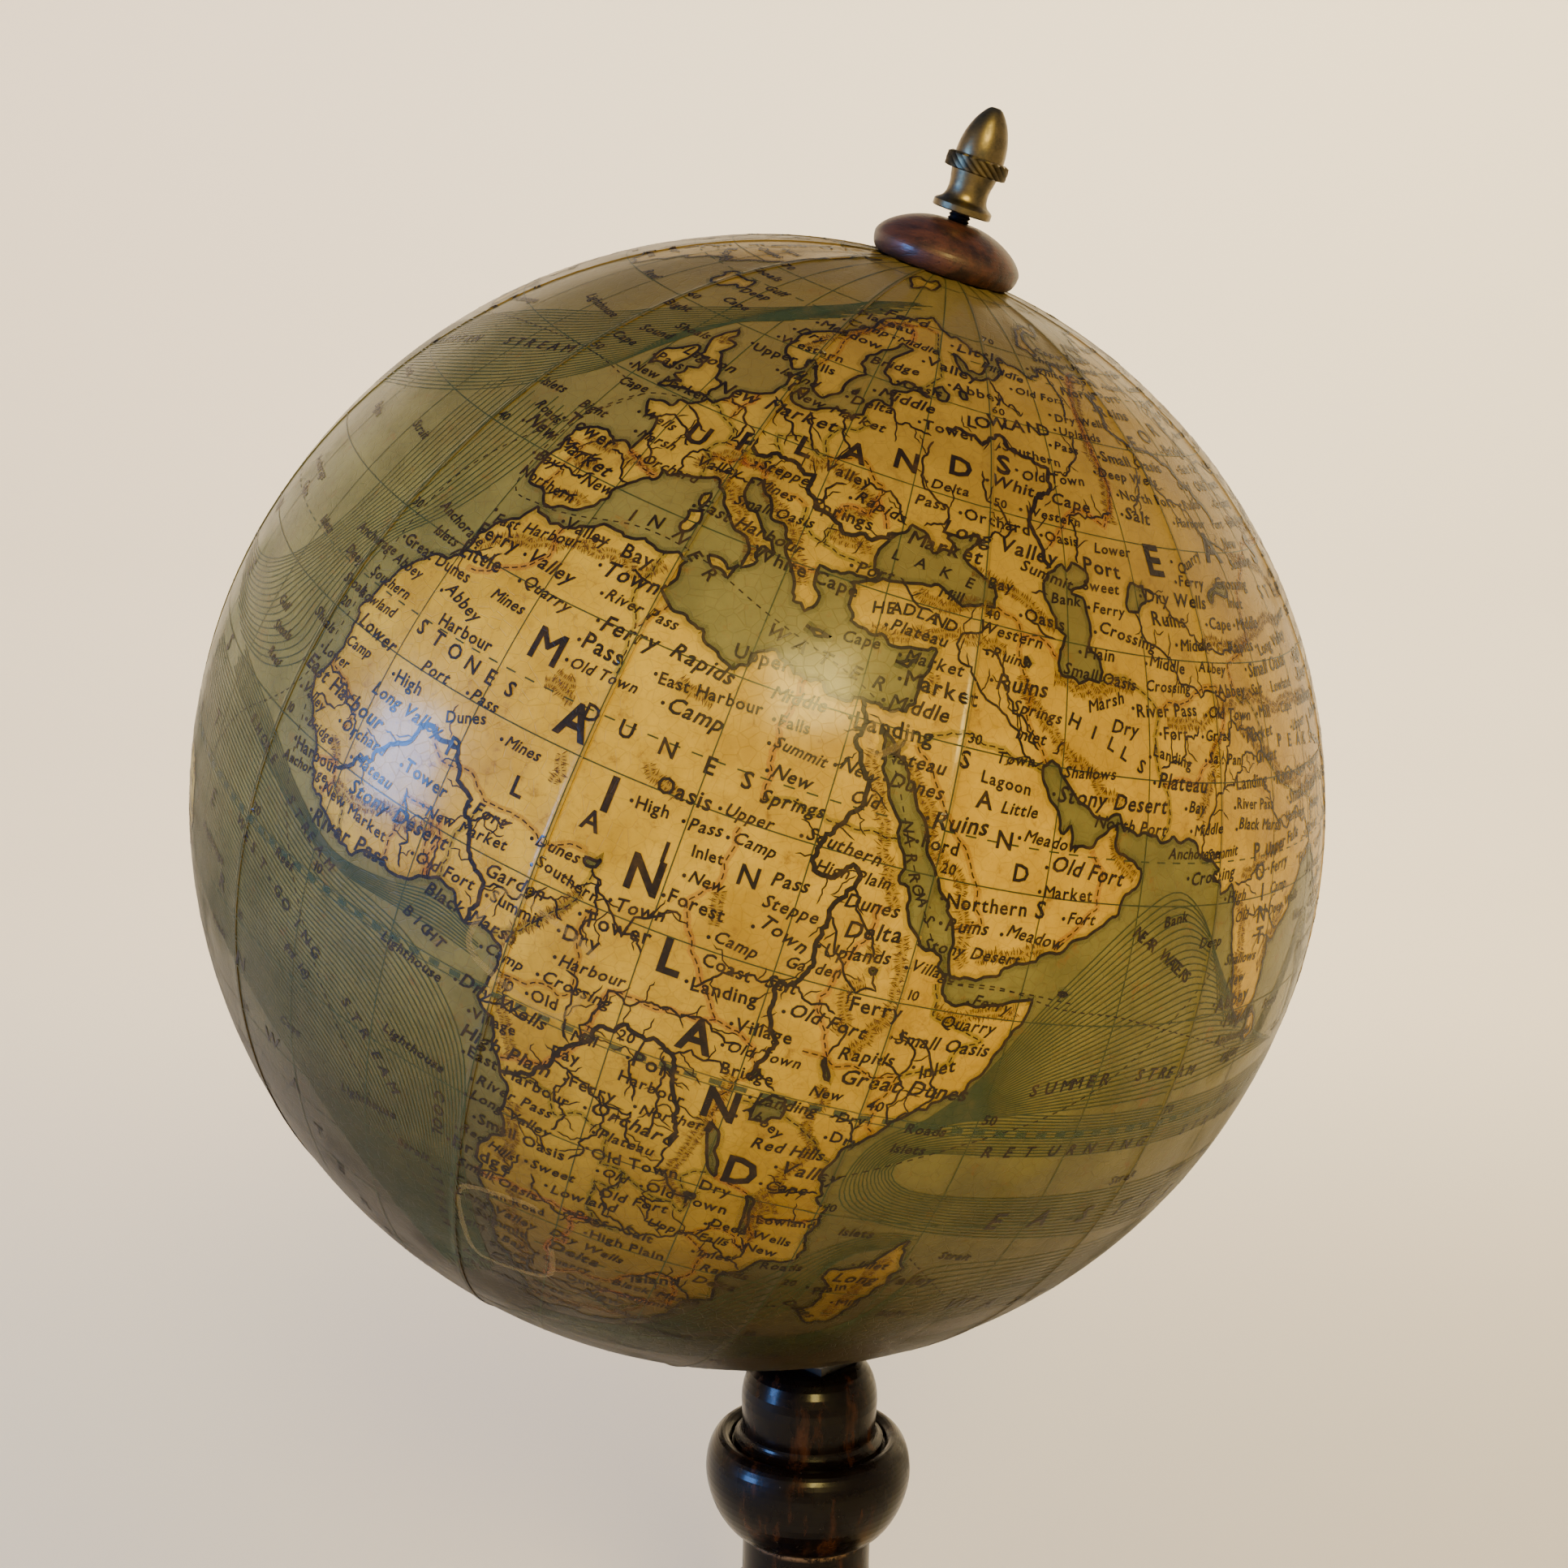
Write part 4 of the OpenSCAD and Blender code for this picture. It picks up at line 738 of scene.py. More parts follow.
# Sea currents: bundles of fine green lines that run side by side, spread and close up again. Each
# bundle is drawn between two guide lines, and stops at the shore.
CURRENTS = [
    (46, "15,-33 12.8,-26 10.6,-17 9.9,-10 7.6,-4 1.5,.8 -8,2.6 -18,5.5 -28,7.5 -42,8.5",
     "9,-37 4,-31 -2,-25 -8,-20 -13,-17.5 -18,-15.5 -24,-14 -30,-12.5 -36,-11 -44,-9"),
    (9, "-32,11 -22,9 -14,5.6 -8,3.4 -2,4 3,5.2 8,3.8", "-32,8.5 -22,6.4 -14,3.8 -7,2.4 -1,2.5 4,2.6 8.6,2"),
    (30, "44.6,-.4 48.5,4.4 52,10.5 55.5,14.8 60,19 64.5,21.2 68.5,19 71.5,14.5 74,9.5",
     "43.6,-.9 49,1 54,2 60,2.6 66,3 72,3.4 78,4 84,4.3 90,4"),
    (14, "98,-2.4 80,-2.3 62,-2.2 49,-2.2 45.4,-3 44.4,-4.4 45.4,-5.8 49,-6.6 62,-6.8 80,-7.2 98,-8",
     "98,1.9 80,1.9 62,1.8 49,1.7 43.4,-.8 41.2,-4.3 41.6,-8.6 47,-10.4 62,-12 80,-14 98,-15"),
    (16, "98,-16 80,-15.5 63,-15 53.5,-15.5 51.6,-19 50,-24 46,-28.3 38,-31.5 31,-35.5 24,-38",
     "98,-26 80,-25.5 66,-25 59,-26 55,-29.5 48,-34 40,-38 31,-41 22,-43 12,-44"),
    (9, "50.5,-11.4 46,-11.5 41.8,-14.6 39.2,-18.4 36.6,-22.3 34,-27.5 31.4,-31.6 26.5,-35.1 18,-37.2",
     "48,-13 45.4,-14 43.4,-16.6 42.9,-20 42,-24.5 38,-29 33.5,-33.4 27,-37 18,-39.6"),
    (26, "-79,31 -66,38.5 -52,44 -38,50 -25,54.5 -15,59.5 -5,63.5 5,68 14,72 28,75",
     "-75,25 -62,31 -48,35 -36,38 -26,41.5 -18,46 -13,50.5 -11.5,55.5 -6,60 3,63.8"),
    (18, "-10.5,45.5 -10.8,41 -12,36.5 -14.5,31.5 -18.8,26.5 -19.6,20 -20,15 -26,11.6 -36,11",
     "-26,44 -26,38.5 -26,33.5 -26.5,28.5 -28.5,23.5 -32.5,19.5 -38.5,17 -46,16 -56,16"),
    (14, "-33,-7 -36,-14 -38,-22 -46,-28 -51,-36 -50,-42", "-26,-5 -29,-14 -31,-24 -38,-32 -42,-39 -42,-44"),
    (22, "272,5 240,4 210,4 180,5 150,6 130,8", "272,-8 240,-10 210,-12 180,-14 162,-17 155,-24"),
    (20, "125,21 135,31 150,38 170,42 190,45 210,47 228,45",
     "129,16 141,26 155,30 175,32 195,33 215,32 234,27"),
    (16, "285,-46 285,-31 281,-15 275,-5 262,-1", "270,-46 272,-31 268,-18 258,-9 245,-6"),
    (12, "0,-45 45,-44 90,-47 135,-45 180,-49 225,-50 270,-54 290,-58 315,-52 360,-45",
     "0,-53 45,-54 90,-55 135,-54 180,-57 225,-58 270,-61 290,-62 315,-59 360,-53"),
    (14, "60,-31 80,-27 100,-23 110,-21 108,-30", "62,-38 82,-37 100,-36 106,-38 112,-39"),
    (10, "82,6 86,12 90,17 93,12 94,5", "84,5 87,10 89.5,13 91.5,9 92,4"),
    (10, "154,-22 157,-30 154,-37 150,-43", "160,-22 164,-30 162,-38 157,-44"),
]
current_lines = []
for count, one, other in CURRENTS:
    one, other = places(one), places(other)
    steps = max(len(one), len(other))
    guides = [curve(line, 0.9) for line in (one, other)]
    spread = [
        np.stack([np.interp(np.linspace(0, 1, 150), np.linspace(0, 1, len(g)), g[:, k]) for k in (0, 1)], -1)
        for g in guides
    ]
    for n in range(count):
        share = n / (count - 1)
        line = spread[0] * (1 - share) + spread[1] * share
        cut_from = int(rng.integers(0, 6))
        current_lines += wet(evenly(line[cut_from : len(line) - int(rng.integers(0, 6))], 0.9))
strips("sea_currents", current_lines, 0.33, ink("green_ink", sea_ink), 0.00005)
ROUTES = """43.4,12.2 48,12.5 54,11.3 60,10.8 66,9.5 74,7.4 80,5.6 92,5.5 / 43.4,12.2 50,12.3 55,11.8 /
    32.6,29.9 35,26.5 37.6,21.5 39.8,17.5 42.6,13.2 43.4,12.2 / 32.3,31.4 28,33.2 20,35.3 12,37.5 5,37.9
    -2,36.4 -6,35.9 -10,36.5 -10,43.6 -6,48.6 0,50.2 / -17.8,14.6 -15,4 -8,-6 2,-18 10,-28 17.5,-34 /
    -6,48.8 -20,50 -40,48 -60,43.5 -73,40.4 / -6,48.6 -17,35 -18.5,15 -28,5 -34.5,-8 / 39.8,-6.3 48,-2
    60,4 72,15 / 57,-20 50,-14 / 18,-34.5 30,-33.5 50,-31 80,-33 114,-34.5 / 237,37.6 210,33 180,33 150,35
    140,35 / 237,37.6 220,28 202,21 190,0 178,-17 160,-28 152,-33.5"""
route_dashes = []
for part in ROUTES.split("/"):
    for stretch in wet(curve(places(part), 0.4)):
        route_dashes += dashed(stretch, 0.45, 0.45, 0.15)
strips("ship_routes", route_dashes, 0.3, ink("black_ink", dark_ink), 0.00007)

# Mountain ranges: short brown strokes that run down both sides of a crest, as an engraver cuts them.
RANGES = """-9,30.5 -5,32.8 -1,34 4,35 9,36 / 6.5,44.5 7,46 10,46.7 13.5,47 15.5,47.3 / -1.5,43 2.5,42.4 /
    -7,43 -3,43 / -5.5,37.2 -2,37.6 / -6,40.3 -3.5,41 / 8.5,44.5 11.5,44 13.5,42.3 15.8,40.5 16.2,38.8 /
    14,45.7 17,43.9 19.5,42.5 21,40 22,38.5 / 17.5,48.8 20,49.3 24,48.3 26,46.5 25.5,45.4 22.5,45.3 /
    22.8,43.3 27,42.7 / 38.5,44 42,43.2 45,42.5 48.5,41 / 29.5,36.9 32.5,37 35,37.5 39,38.2 43,38.2 /
    33,41 37,40.5 41,40.7 / 36,33.2 36.3,34.8 / 45,36.5 47.5,33.5 51,30.5 54.5,28.4 57,27.9 / 48.5,36.8
    51,36 54,36.3 58,37.1 / 62.5,34.7 67,34.8 71,36 74,36.7 / 74,35.5 78,32.5 83,29.5 88,28 93,28 96.5,29
    / 75,37 82,36 90,36 98,35 103,34.5 / 70,41.5 76,41.5 82,42.5 88,43.5 93,43.2 / 84,50.5 89,49 95,47
    101,45 / 90,52.5 97,52 103,51.7 110,53.5 118,57 128,57 138,60 150,63 / 58.5,51.5 59.5,56 59.5,61 62,66
    66,68.5 / 7.5,60.5 9.5,62.5 13.5,65 17,68 22,69.3 / -5,57.3 -3.5,57 / 67,27 69.5,31 70,33.5 / 73.9,20
    74.6,15 76.3,11.5 77.4,8.8 / 79,13.5 79.8,16 83,18.5 / 74,22.5 78,23.2 82,24 / 36,28 38.5,24.5 40.5,21
    42.7,18.5 43.8,15.5 44.4,13.9 / 45.3,14.4 48,15 51,16 / 56,25.3 57.5,23.2 59,22.2 / 33.8,29 34.2,28.4
    / 32.6,28 33.8,25 35.2,22 36.3,19 37.6,17 / 38.8,15 39.5,12.5 39.6,10 38.5,7.5 37.5,5.5 / 37,14
    37,12.6 / 37,11 36,8.5 36,6.5 / 43,10 46.5,10.2 50,10.7 / 36.5,2 36.2,-1 37.4,-3.2 36,-7 35,-9.3
    36.5,-11 / 29.5,1 28.9,-2 28.6,-5 27.5,-9 30,-12 / 34.9,-10 35.6,-14.5 / 30.8,-24 30,-27 28.8,-29.3
    27.2,-31.5 23.5,-32.2 20,-32.3 19,-33.2 / 15,-18 16.5,-22 17.5,-25.5 18,-28 / 14.1,-8.5 14.8,-12
    14,-15 / 10.5,2 11.5,-1.5 12.9,-4.5 / 9.4,4.4 11,6.5 13,8.5 14,10.5 / -10,8.5 -6,8.3 -2,8.8 1,9.8 /
    -12.3,11.5 -11,9.3 / 15.5,21.5 18.5,20 / 4.5,23.8 7.5,23.5 / 5,24.8 7,24.8 / 8.5,19.5 8.8,17.3 /
    24.2,14.5 24.5,12 / 15,28.2 18.5,27.5 / 48.6,-14.5 47.5,-18 46.5,-22 46.5,-24 / -150,61.5 -138,60.5
    -130,57 -122,53 -115,50 -111,45 -107.5,41 -106,37 -105.5,33 / -108,30 -105,25 -102,20.5 -97,17.5
    -92,15.5 -86,13 -83,9.5 / -121.5,48.5 -122,43 -120,39 -118.3,36 / -85,34.5 -81,37.5 -77.5,41 -73,44
    -69.5,46 / -73,9 -76,4 -78.5,-1 -78,-8 -73,-13.5 -69,-17.5 -68,-23 -69.8,-29 -70,-35 -71.5,-41 -73,-47
    -71.5,-53 / -72,-15 -66,-18 -65.5,-23 -67,-28 / -43.5,-13 -43.5,-19 -46,-22.8 -49.5,-26 / -66,5
    -61,4.5 -57,2.3 / 144.5,-16 147,-21 151.5,-27 150.5,-33 147.5,-37 / 167.8,-45 172,-42 / 158,53
    161,57.5 / 136,35.8 140,38 141,40.5 / 96.5,4 101,-1 104,-4.5 / 107.5,15.5 104.5,18.5 102,22 / 105,32
    110,33.5 114,32 / 112,25.5 116,27.5 118.5,28.5 / 100,27 99,31 / 110,-7 114,-8.2 / 133,-3.6 141,-5.3
    147,-8"""
crests = several(RANGES, 0.12, 0.5)
strokes = []
for crest in crests:
    line = evenly(crest, 0.17)
    run = np.gradient(line, axis=0)
    run[:, 0] *= np.cos(np.radians(line[:, 1]))
    run /= np.maximum(np.hypot(*run.T), 1e-9)[:, None]
    for n in range(len(line)):
        for side in (-1, 1):
            reach = rng.uniform(0.25, 0.75)
            lean = rng.normal(0, 0.3)
            way = np.array([-run[n, 1], run[n, 0]]) * side + run[n] * lean
            way[0] /= math.cos(math.radians(line[n, 1]))
            tip = way * reach
            strokes.append(np.array([line[n] + way * 0.08, line[n] + tip * 0.55, line[n] + tip]))
strips("mountain_strokes", strokes, 0.22, ink("brown_ink", rgb(72, 46, 18)), 0.00006, ends=0.35)
strips("mountain_shade", crests, 2.6, ink("brown_wash", rgb(92, 62, 24), 0.2), 0.000035)

# The engraver's lettering: large plain words for the lands and waters, degree numbers, and hundreds of
# small plain words for the places. Each letter is made once, flat, and laid on the ball as often as needed.
letter_shapes = {}
written = {}
taken = []


def letter_shape(character, bold):
    """The corners, faces and width of one letter, in units of the letter size."""
    if (character, bold) not in letter_shapes:
        bpy.ops.object.text_add()
        made = bpy.context.object
        made.data.body = character
        made.data.resolution_u = 2
        made.data.offset = 0 if character == "M" else (0.03 if bold else 0.02)
        bpy.ops.object.convert(target="MESH")
        corners = np.array([tuple(v.co)[:2] for v in made.data.vertices]).reshape(-1, 2)
        faces = [tuple(face.vertices) for face in made.data.polygons]
        width = corners[:, 0].max() + 0.07 if len(corners) else 0.32
        if character == "M":
            faces += [tuple(len(corners) + n for n in face) for face in faces]
            corners = np.vstack([corners, corners + [0.035, 0.0]])
        bpy.data.objects.remove(made)
        letter_shapes[character, bold] = (corners, faces, width)
    return letter_shapes[character, bold]


def text_width(text, size, bold=False):
    """How wide a word is, in millimetres."""
    return size * sum(letter_shape(c, bold)[2] for c in text)


def write(sheet_name, text, lon, lat, size, angle=0.0, bold=False, slant=0.24, centred=False):
    """Lays a word on the ball, this many millimetres high, from its lower left corner."""
    verts, faces = written.setdefault(sheet_name, ([], []))
    across = -text_width(text, size, bold) / 2 if centred else 0.0
    down = -0.35 * size if centred else 0.0
    turn = math.radians(angle)
    to_degrees = math.degrees(0.001 / ball_r)
    for character in text:
        corners, shape_faces, width = letter_shape(character, bold)
        if len(corners):
            x = across + size * (corners[:, 0] + slant * corners[:, 1])
            y = down + size * corners[:, 1]
            east = (x * math.cos(turn) - y * math.sin(turn)) * to_degrees / math.cos(math.radians(lat))
            north = (x * math.sin(turn) + y * math.cos(turn)) * to_degrees
            start = sum(len(part) for part in verts)
            verts.append(np.stack([lon + east, lat + north], -1))
            faces += [tuple(start + n for n in face) for face in shape_faces]
        across += size * width


def reserve(lon, lat, half_wide, half_high):
    """Keeps a box of the map free of small names, in millimetres."""
    taken.append((lon, lat, half_wide, half_high))


def is_free(lon, lat, half_wide, half_high):
    """True if nothing is yet written in this box of the map, in millimetres."""
    box = np.array(taken)
    millimetres = math.radians(1) * ball_r * 1000
    dx = np.abs((box[:, 0] - lon + 180) % 360 - 180) * math.cos(math.radians(lat)) * millimetres
    dy = np.abs(box[:, 1] - lat) * millimetres
    return not np.any((dx < box[:, 2] + half_wide) & (dy < box[:, 3] + half_high))


BIG_NAMES = [
    ("MAINLAND", 10.6, True, 0.0, "3.1,26.4 11.4,20.1 17.7,14.5 23,7.8 28,.7 32.9,-7.4"),
    ("UPLANDS", 7.6, True, 0.0, "4.1,47.3 11.4,48.7 18.5,50.6 27.5,52 35.1,53.1 42.1,54.8"),
    ("EAST", 11.0, True, 0.0, "64.6,48.7 79,50.5 94,50 109,48"),
    ("PLAIN", 6.2, False, 0.0, "-.4,16.2 6.1,15.9 12.2,16 19.2,15.9 25.9,16.3"),
    ("DUNES", 5.2, False, 0.0, "9.5,23.3 14.2,23.2 18.8,23.1 23.4,23"),
    ("STONES", 4.8, False, 0.0, "-8.9,22.9 -5.5,22.7 -2,22.4 2,22.2"),
    ("SANDS", 5.4, False, 0.0, "40.6,29.1 43.5,26 46.5,22.6 50,19"),
    ("INNER WATER", 4.2, False, 0.2, "3.4,38.5 8,38.8 12.7,36.9 18.9,34.7 25,33.7 31.5,33"),
    ("WATERS", 6.4, False, 0.2, "-13.7,-19.4 -10.3,-23.1 -7.3,-28.3 -4.5,-34 -2,-40"),
    ("WESTERN", 6.4, False, 0.2, "-46,20 -40,14 -35,8 -31,2 -27,-4 -23,-9 -19,-14"),
    ("WEST-GOING STREAM", 4.2, False, 0.1, "-21,-1.2 -14,-3.2 -7,-6 -1,-9.6 3,-13.5"),
    ("(mild)", 3.8, False, 0.2, "-11,-7.4 -8,-8.6"),
    ("COOL STREAM", 3.8, False, 0.2, "7.6,-11.5 7.9,-16 8.2,-21 9.2,-27"),
    ("SHORE STREAM", 3.8, False, 0.2, "-24,7.3 -18,6 -13,3.9 -8,2.2"),
    ("BIGHT", 3.8, False, 0.2, "1,2.8 4.5,1.8"),
    ("SUMMER STREAM", 4.3, False, 0.2, "54,4.2 60,5.2 66,5.4 72,5"),
    ("NEAR WATERS", 4.0, False, 0.2, "60.5,17.8 64,16 67.5,14"),
    ("RETURNING STREAM", 4.2, False, 0.25, "52,-1.8 60,-1.6 72,-1.8 86,-2"),
    ("EASTERN", 7.6, False, 0.3, "56.3,-9.4 60.7,-9.4 66.6,-9.8 73,-10.4 80,-11.4 88,-13"),
    ("WATERS", 7.6, False, 0.3, "60,-22 68,-24 76,-26 84,-28"),
    ("FORESTS", 6.0, False, 0.0, "72,61 84,63 98,64.5 112,65"),
    ("LOWLAND", 5.0, False, 0.0, "37,58.5 43,59.5 50,60"),
    ("HILLS", 4.4, False, 0.0, "51,33.8 55,32.6 59,31"),
    ("HEADLAND", 3.8, False, 0.2, "29.5,38.7 33,39.3 37,39"),
    ("LAKE", 3.6, False, 0.2, "30,43.4 34,43.3 38.3,42.9"),
    ("NARROWS", 3.4, False, 0.2, "36.9,23.2 38.6,19.4 40.5,16.8"),
    ("POINT", 6.0, False, 0.0, "76.5,24 78,20.5 78.5,16.5"),
    ("VALLEYS", 7.0, False, 0.0, "101,31 107,30.5 113,30"),
    ("STEPPES", 5.0, False, 0.0, "90,46 99,45.5 109,45"),
    ("PEAKS", 4.6, False, 0.0, "83,33 89,32.5 94,32"),
    ("SOUTHLAND", 8.4, True, 0.0, "118,-25 126,-25.5 134,-25.5 144,-25"),
    ("GREAT WATERS", 9.6, False, 0.3, "160,17 176,16 192,15 208,14 224,13"),
    ("CALM WATERS", 8.0, False, 0.3, "196,-28 212,-30 228,-31 244,-31"),
    ("BROAD", 8.4, True, 0.0, "-117,58 -108,57 -99,55"),
    ("PLAINS", 9.4, True, 0.0, "-116,47.5 -106,45.5 -96,42 -87,38"),
    ("LOWER", 8.0, True, 0.0, "-71,4.5 -64,1.5 -58,-1.8"),
    ("FORESTS", 9.4, True, 0.0, "-66,-6.5 -60,-12 -56,-19 -59,-27 -65,-36"),
    ("ICE FIELD", 5.4, False, 0.0, "-48,66 -44,70 -40,74 -38,78"),
    ("FROZEN WATERS", 5.0, False, 0.2, "130,78 170,80 210,79"),
    ("NORTHERN STREAM", 4.2, False, 0.2, "-52,40 -42,43.5 -32,46.5 -22,49"),
    ("ISLAND WATERS", 4.2, False, 0.2, "-80,14.5 -74,14.6 -68,14.4"),
    ("SOUTHERN WATERS", 6.4, False, 0.3, "40,-50 60,-51 80,-51.5 100,-51"),
    ("LOWER WATERS", 6.4, False, 0.3, "170,-48 190,-49 210,-49.5"),
    ("POLAR LAND", 5.4, False, 0.2, "20,-75 60,-74 100,-73"),
]
for text, size, bold, slant, path in BIG_NAMES:
    guide = curve(places(path), 0.5)
    letters = text.replace(" ", "  ") if size < 5 else text
    at = np.linspace(0, len(guide) - 1, len(letters)).round().astype(int)
    small = size < 5
    for character, n in zip(letters, at):
        lon, lat = guide[n]
        after, before = guide[min(n + 2, len(guide) - 1)], guide[max(n - 2, 0)]
        east = (after[0] - before[0]) * math.cos(math.radians(lat))
        angle = math.degrees(math.atan2(after[1] - before[1], east)) if small else 0.0
        if character != " ":
            write("great_names", character, lon, lat, size, angle, bold, slant, centred=True)
            reserve(lon, lat, 0.42 * size, 0.45 * size)
for lon in range(-180, 180, 10):
    if lon % 30:
        write("great_names", str(abs(lon)), lon + 0.3, 0.8, 3.6, slant=0.1)
        reserve(lon + 1.2, 1.3, 4, 2)
    if lon % 60 == 40:
        for lat in (*range(-60, 0, 10), *range(10, 80, 10)):
            write("great_names", str(abs(lat)), lon + 0.4, lat + 0.4, 3.2, slant=0.1)
            reserve(lon + 1.2, lat + 0.9, 4, 2)

WORDS = """Oasis Wells Plateau Coast Bay Cape Delta Valley Ruins Port Fort Falls Rapids Steppe Dunes Plain
    Market Pass Ford Springs Mines Forest Marsh Hills Harbour Village Town Camp Ferry Summit Meadow
    Orchard Quarry Bridge Lagoon Inlet Landing Garden Tower Abbey Mill Crossing Island Shallows Uplands
    Lowland Northern Southern Eastern Western Upper Lower Middle Great Little Old New High Dry Salt Sweet""".split()
PAIRS = """Old Town/High Plain/Salt Pan/Dry Wells/North Port/Lower Ford/Great Dunes/Small Oasis/Stony
    Desert/Upper Falls/ Caravan Road/Red Hills/White Cape/Long Valley/Black Marsh/East Harbour/New
    Market/Deep Wells/Old Fort/River Pass"""
PAIRS = [" ".join(pair.split()) for pair in PAIRS.split("/")]
SEA_WORDS = "Shoals/Reef/Islets/Bight/Deep/Bank/Gulf/Sound/Strait/Anchorage/Lighthouse/Cape/Roads".split("/")
per_mm = math.degrees(0.001 / ball_r)
dots = []


def shore_crossings(lat):
    """Where the shore lines cross a parallel, from west to east."""
    (x0, y0), (x1, y1) = shore_from.T, shore_to.T
    spans = (y0 > lat) != (y1 > lat)
    return np.sort(x0[spans] + (lat - y0[spans]) * (x1 - x0)[spans] / (y1 - y0)[spans])


for row in np.arange(-54, 74, 1.9):
    lat = row + rng.uniform(-0.12, 0.12)
    crossings = shore_crossings(lat + 0.3)
    squeeze = math.cos(math.radians(lat))
    lon = -180 + rng.uniform(0, 4)
    while lon < 179:
        size = rng.uniform(3.5, 4.4) if rng.random() < 0.84 else rng.uniform(4.6, 5.3)
        word = PAIRS[rng.integers(len(PAIRS))] if rng.random() < 0.25 else WORDS[rng.integers(len(WORDS))]
        wide = text_width(word, size)
        tilt = rng.uniform(-50, 50) if rng.random() < 0.15 else rng.normal(0, 4)
        end = lon + wide * per_mm / squeeze
        middle, half = (lon + end) / 2, wide / 2 + 0.8
        ashore = [np.searchsorted(crossings, place) % 2 == 1 for place in (lon, end, middle)]
        if sum(ashore) >= 2 and ashore[2]:
            steep = abs(math.sin(math.radians(tilt)))
            high = size * 0.36 + half * steep * 0.8
            if rng.random() < 0.86 and is_free(middle, lat + 0.45, half * (1 - 0.3 * steep), high):
                slant = 0.26 if rng.random() < 0.75 else 0.0
                write("place_names", word, middle, lat + 0.45, size, tilt, slant=slant, centred=True)
                reserve(middle, lat + 0.45, half * (1 - 0.3 * steep), high)
                if rng.random() < 0.7:
                    dots.append((lon - 0.9 * per_mm / squeeze, lat + 0.3))
                lon = end + rng.uniform(2.0, 11) * per_mm / squeeze
            else:
                lon += 1.6 * per_mm / squeeze
        elif not any(ashore):
            gap = np.abs(crossings - end).min() if len(crossings) else 99
            behind = np.abs(crossings - lon).min() if len(crossings) else 99
            near = min(gap, behind) * squeeze < 4
            if rng.random() < (0.16 if near else 0.012) and is_free(middle, lat + 0.45, half, size * 0.5):
                word = SEA_WORDS[rng.integers(len(SEA_WORDS))]
                write("place_names", word, lon, lat, 3.6, rng.normal(0, 6))
                reserve(middle, lat + 0.45, half, 2)
            lon += 3 * per_mm / squeeze
        else:
            lon += 1.2 * per_mm / squeeze
for lon, lat in dots:
    around_dot = np.radians(np.arange(0, 360, 60))
    r = per_mm * 0.48
    dot_lon = lon + r * np.cos(around_dot) / math.cos(math.radians(lat))
    dot_lat = lat + r * np.sin(around_dot)
    verts, faces = written["place_names"]
    start = sum(len(part) for part in verts)
    verts.append(np.stack([dot_lon, dot_lat], -1))
    faces.append(tuple(range(start, start + 6)))
for sheet_name, (verts, faces) in written.items():
    flat = np.vstack(verts)
    raised = on_ball(flat[:, 0], flat[:, 1], 0.0001).tolist()
    made = new_piece(sheet_name, raised, faces, ink("black_ink", dark_ink))
    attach(made, "ball")

# Three pale scuffs where something square was pressed into the soft varnish.
corner = np.radians(np.arange(0, 360, 12))
scuffs = []
pressed = ((12.0, 4.4, 5.0, 3.4, -14), (15.5, -24.5, 4.6, 5.4, 12), (33.4, 29.5, 1.8, 1.2, 40))
for lon, lat, wide, high, angle in pressed:
    x = wide * np.sign(np.cos(corner)) * np.abs(np.cos(corner)) ** 0.45
    y = high * np.sign(np.sin(corner)) * np.abs(np.sin(corner)) ** 0.45
    t = math.radians(angle)
    loop = np.stack([lon + x * math.cos(t) - y * math.sin(t), lat + x * math.sin(t) + y * math.cos(t)], -1)
    scuffs.append(evenly(np.vstack([loop, loop[:1]])[4:], 0.5))
strips("scuffs", scuffs, 1.5, ink("rubbed_varnish", rgb(190, 160, 98), 0.15), 0.00011)

# The ball's hidden inside: pasteboard half shells with a paper strip over their joint, limewood hubs
# held by steel tacks, and the flanged brass bushes that turn on the rod.
def give(finish, *nodes):
    """Puts a finish on CAD pieces whose own shape is right."""
    for node in nodes:
        for slot in frame["nodes"][node].material_slots:
            slot.material = finish.material


pasteboard = Finish("pasteboard", Roughness=0.9)
pulp = pasteboard.noise(0.004, 5, 0.7)
pasteboard.set("Base Color", pasteboard.mix(pulp, rgb(168, 142, 104), rgb(196, 172, 132)))
pasteboard.bump(pulp, 0.0006, 0.5)
give(pasteboard, "north_shell", "south_shell")
strip_paper = Finish("strip_paper", Roughness=0.85)
fibre = strip_paper.noise(0.002, 4, 0.6)
strip_paper.set("Base Color", strip_paper.mix(fibre, rgb(206, 190, 150), rgb(226, 212, 176)))
give(strip_paper, "equator_strip")
limewood = Finish("limewood", Roughness=0.7)
grain = limewood.noise(0.003, 4, 0.6, stretch=(1, 1, 0.12))
limewood.set("Base Color", limewood.mix(grain, rgb(188, 152, 104), rgb(212, 182, 136)))
limewood.bump(grain, 0.0003, 0.4)
give(limewood, "north_hub", "south_hub")

brass = Finish("aged_brass", Metallic=1.0)
tarnish = brass.between(brass.noise(0.006, 6, 0.65), 0.38, 0.72)
fine = brass.noise(0.0009, 4, 0.6, stretch=(1, 1, 4))
brass_tone = brass.mix(tarnish, rgb(122, 108, 76), rgb(76, 72, 60))
brass_tone = brass.mix(0.5 * fine, brass_tone, rgb(44, 42, 38))
# Painted shade: the knurl's sunk corners are darkened almost to black.
groove = brass.node("Attribute", {"attribute_name": "groove"}, {}, "Fac")
brass.set("Base Color", brass.mix(0.92 * groove, brass_tone, rgb(16, 13, 9)))
brass.set("Roughness", 0.33 + 0.16 * tarnish)
brass.bump(fine, 0.0001, 0.35)
give(brass, "north_bush", "south_bush")
steel = Finish("bright_steel", Metallic=1.0, Base_Color=rgb(128, 126, 122))
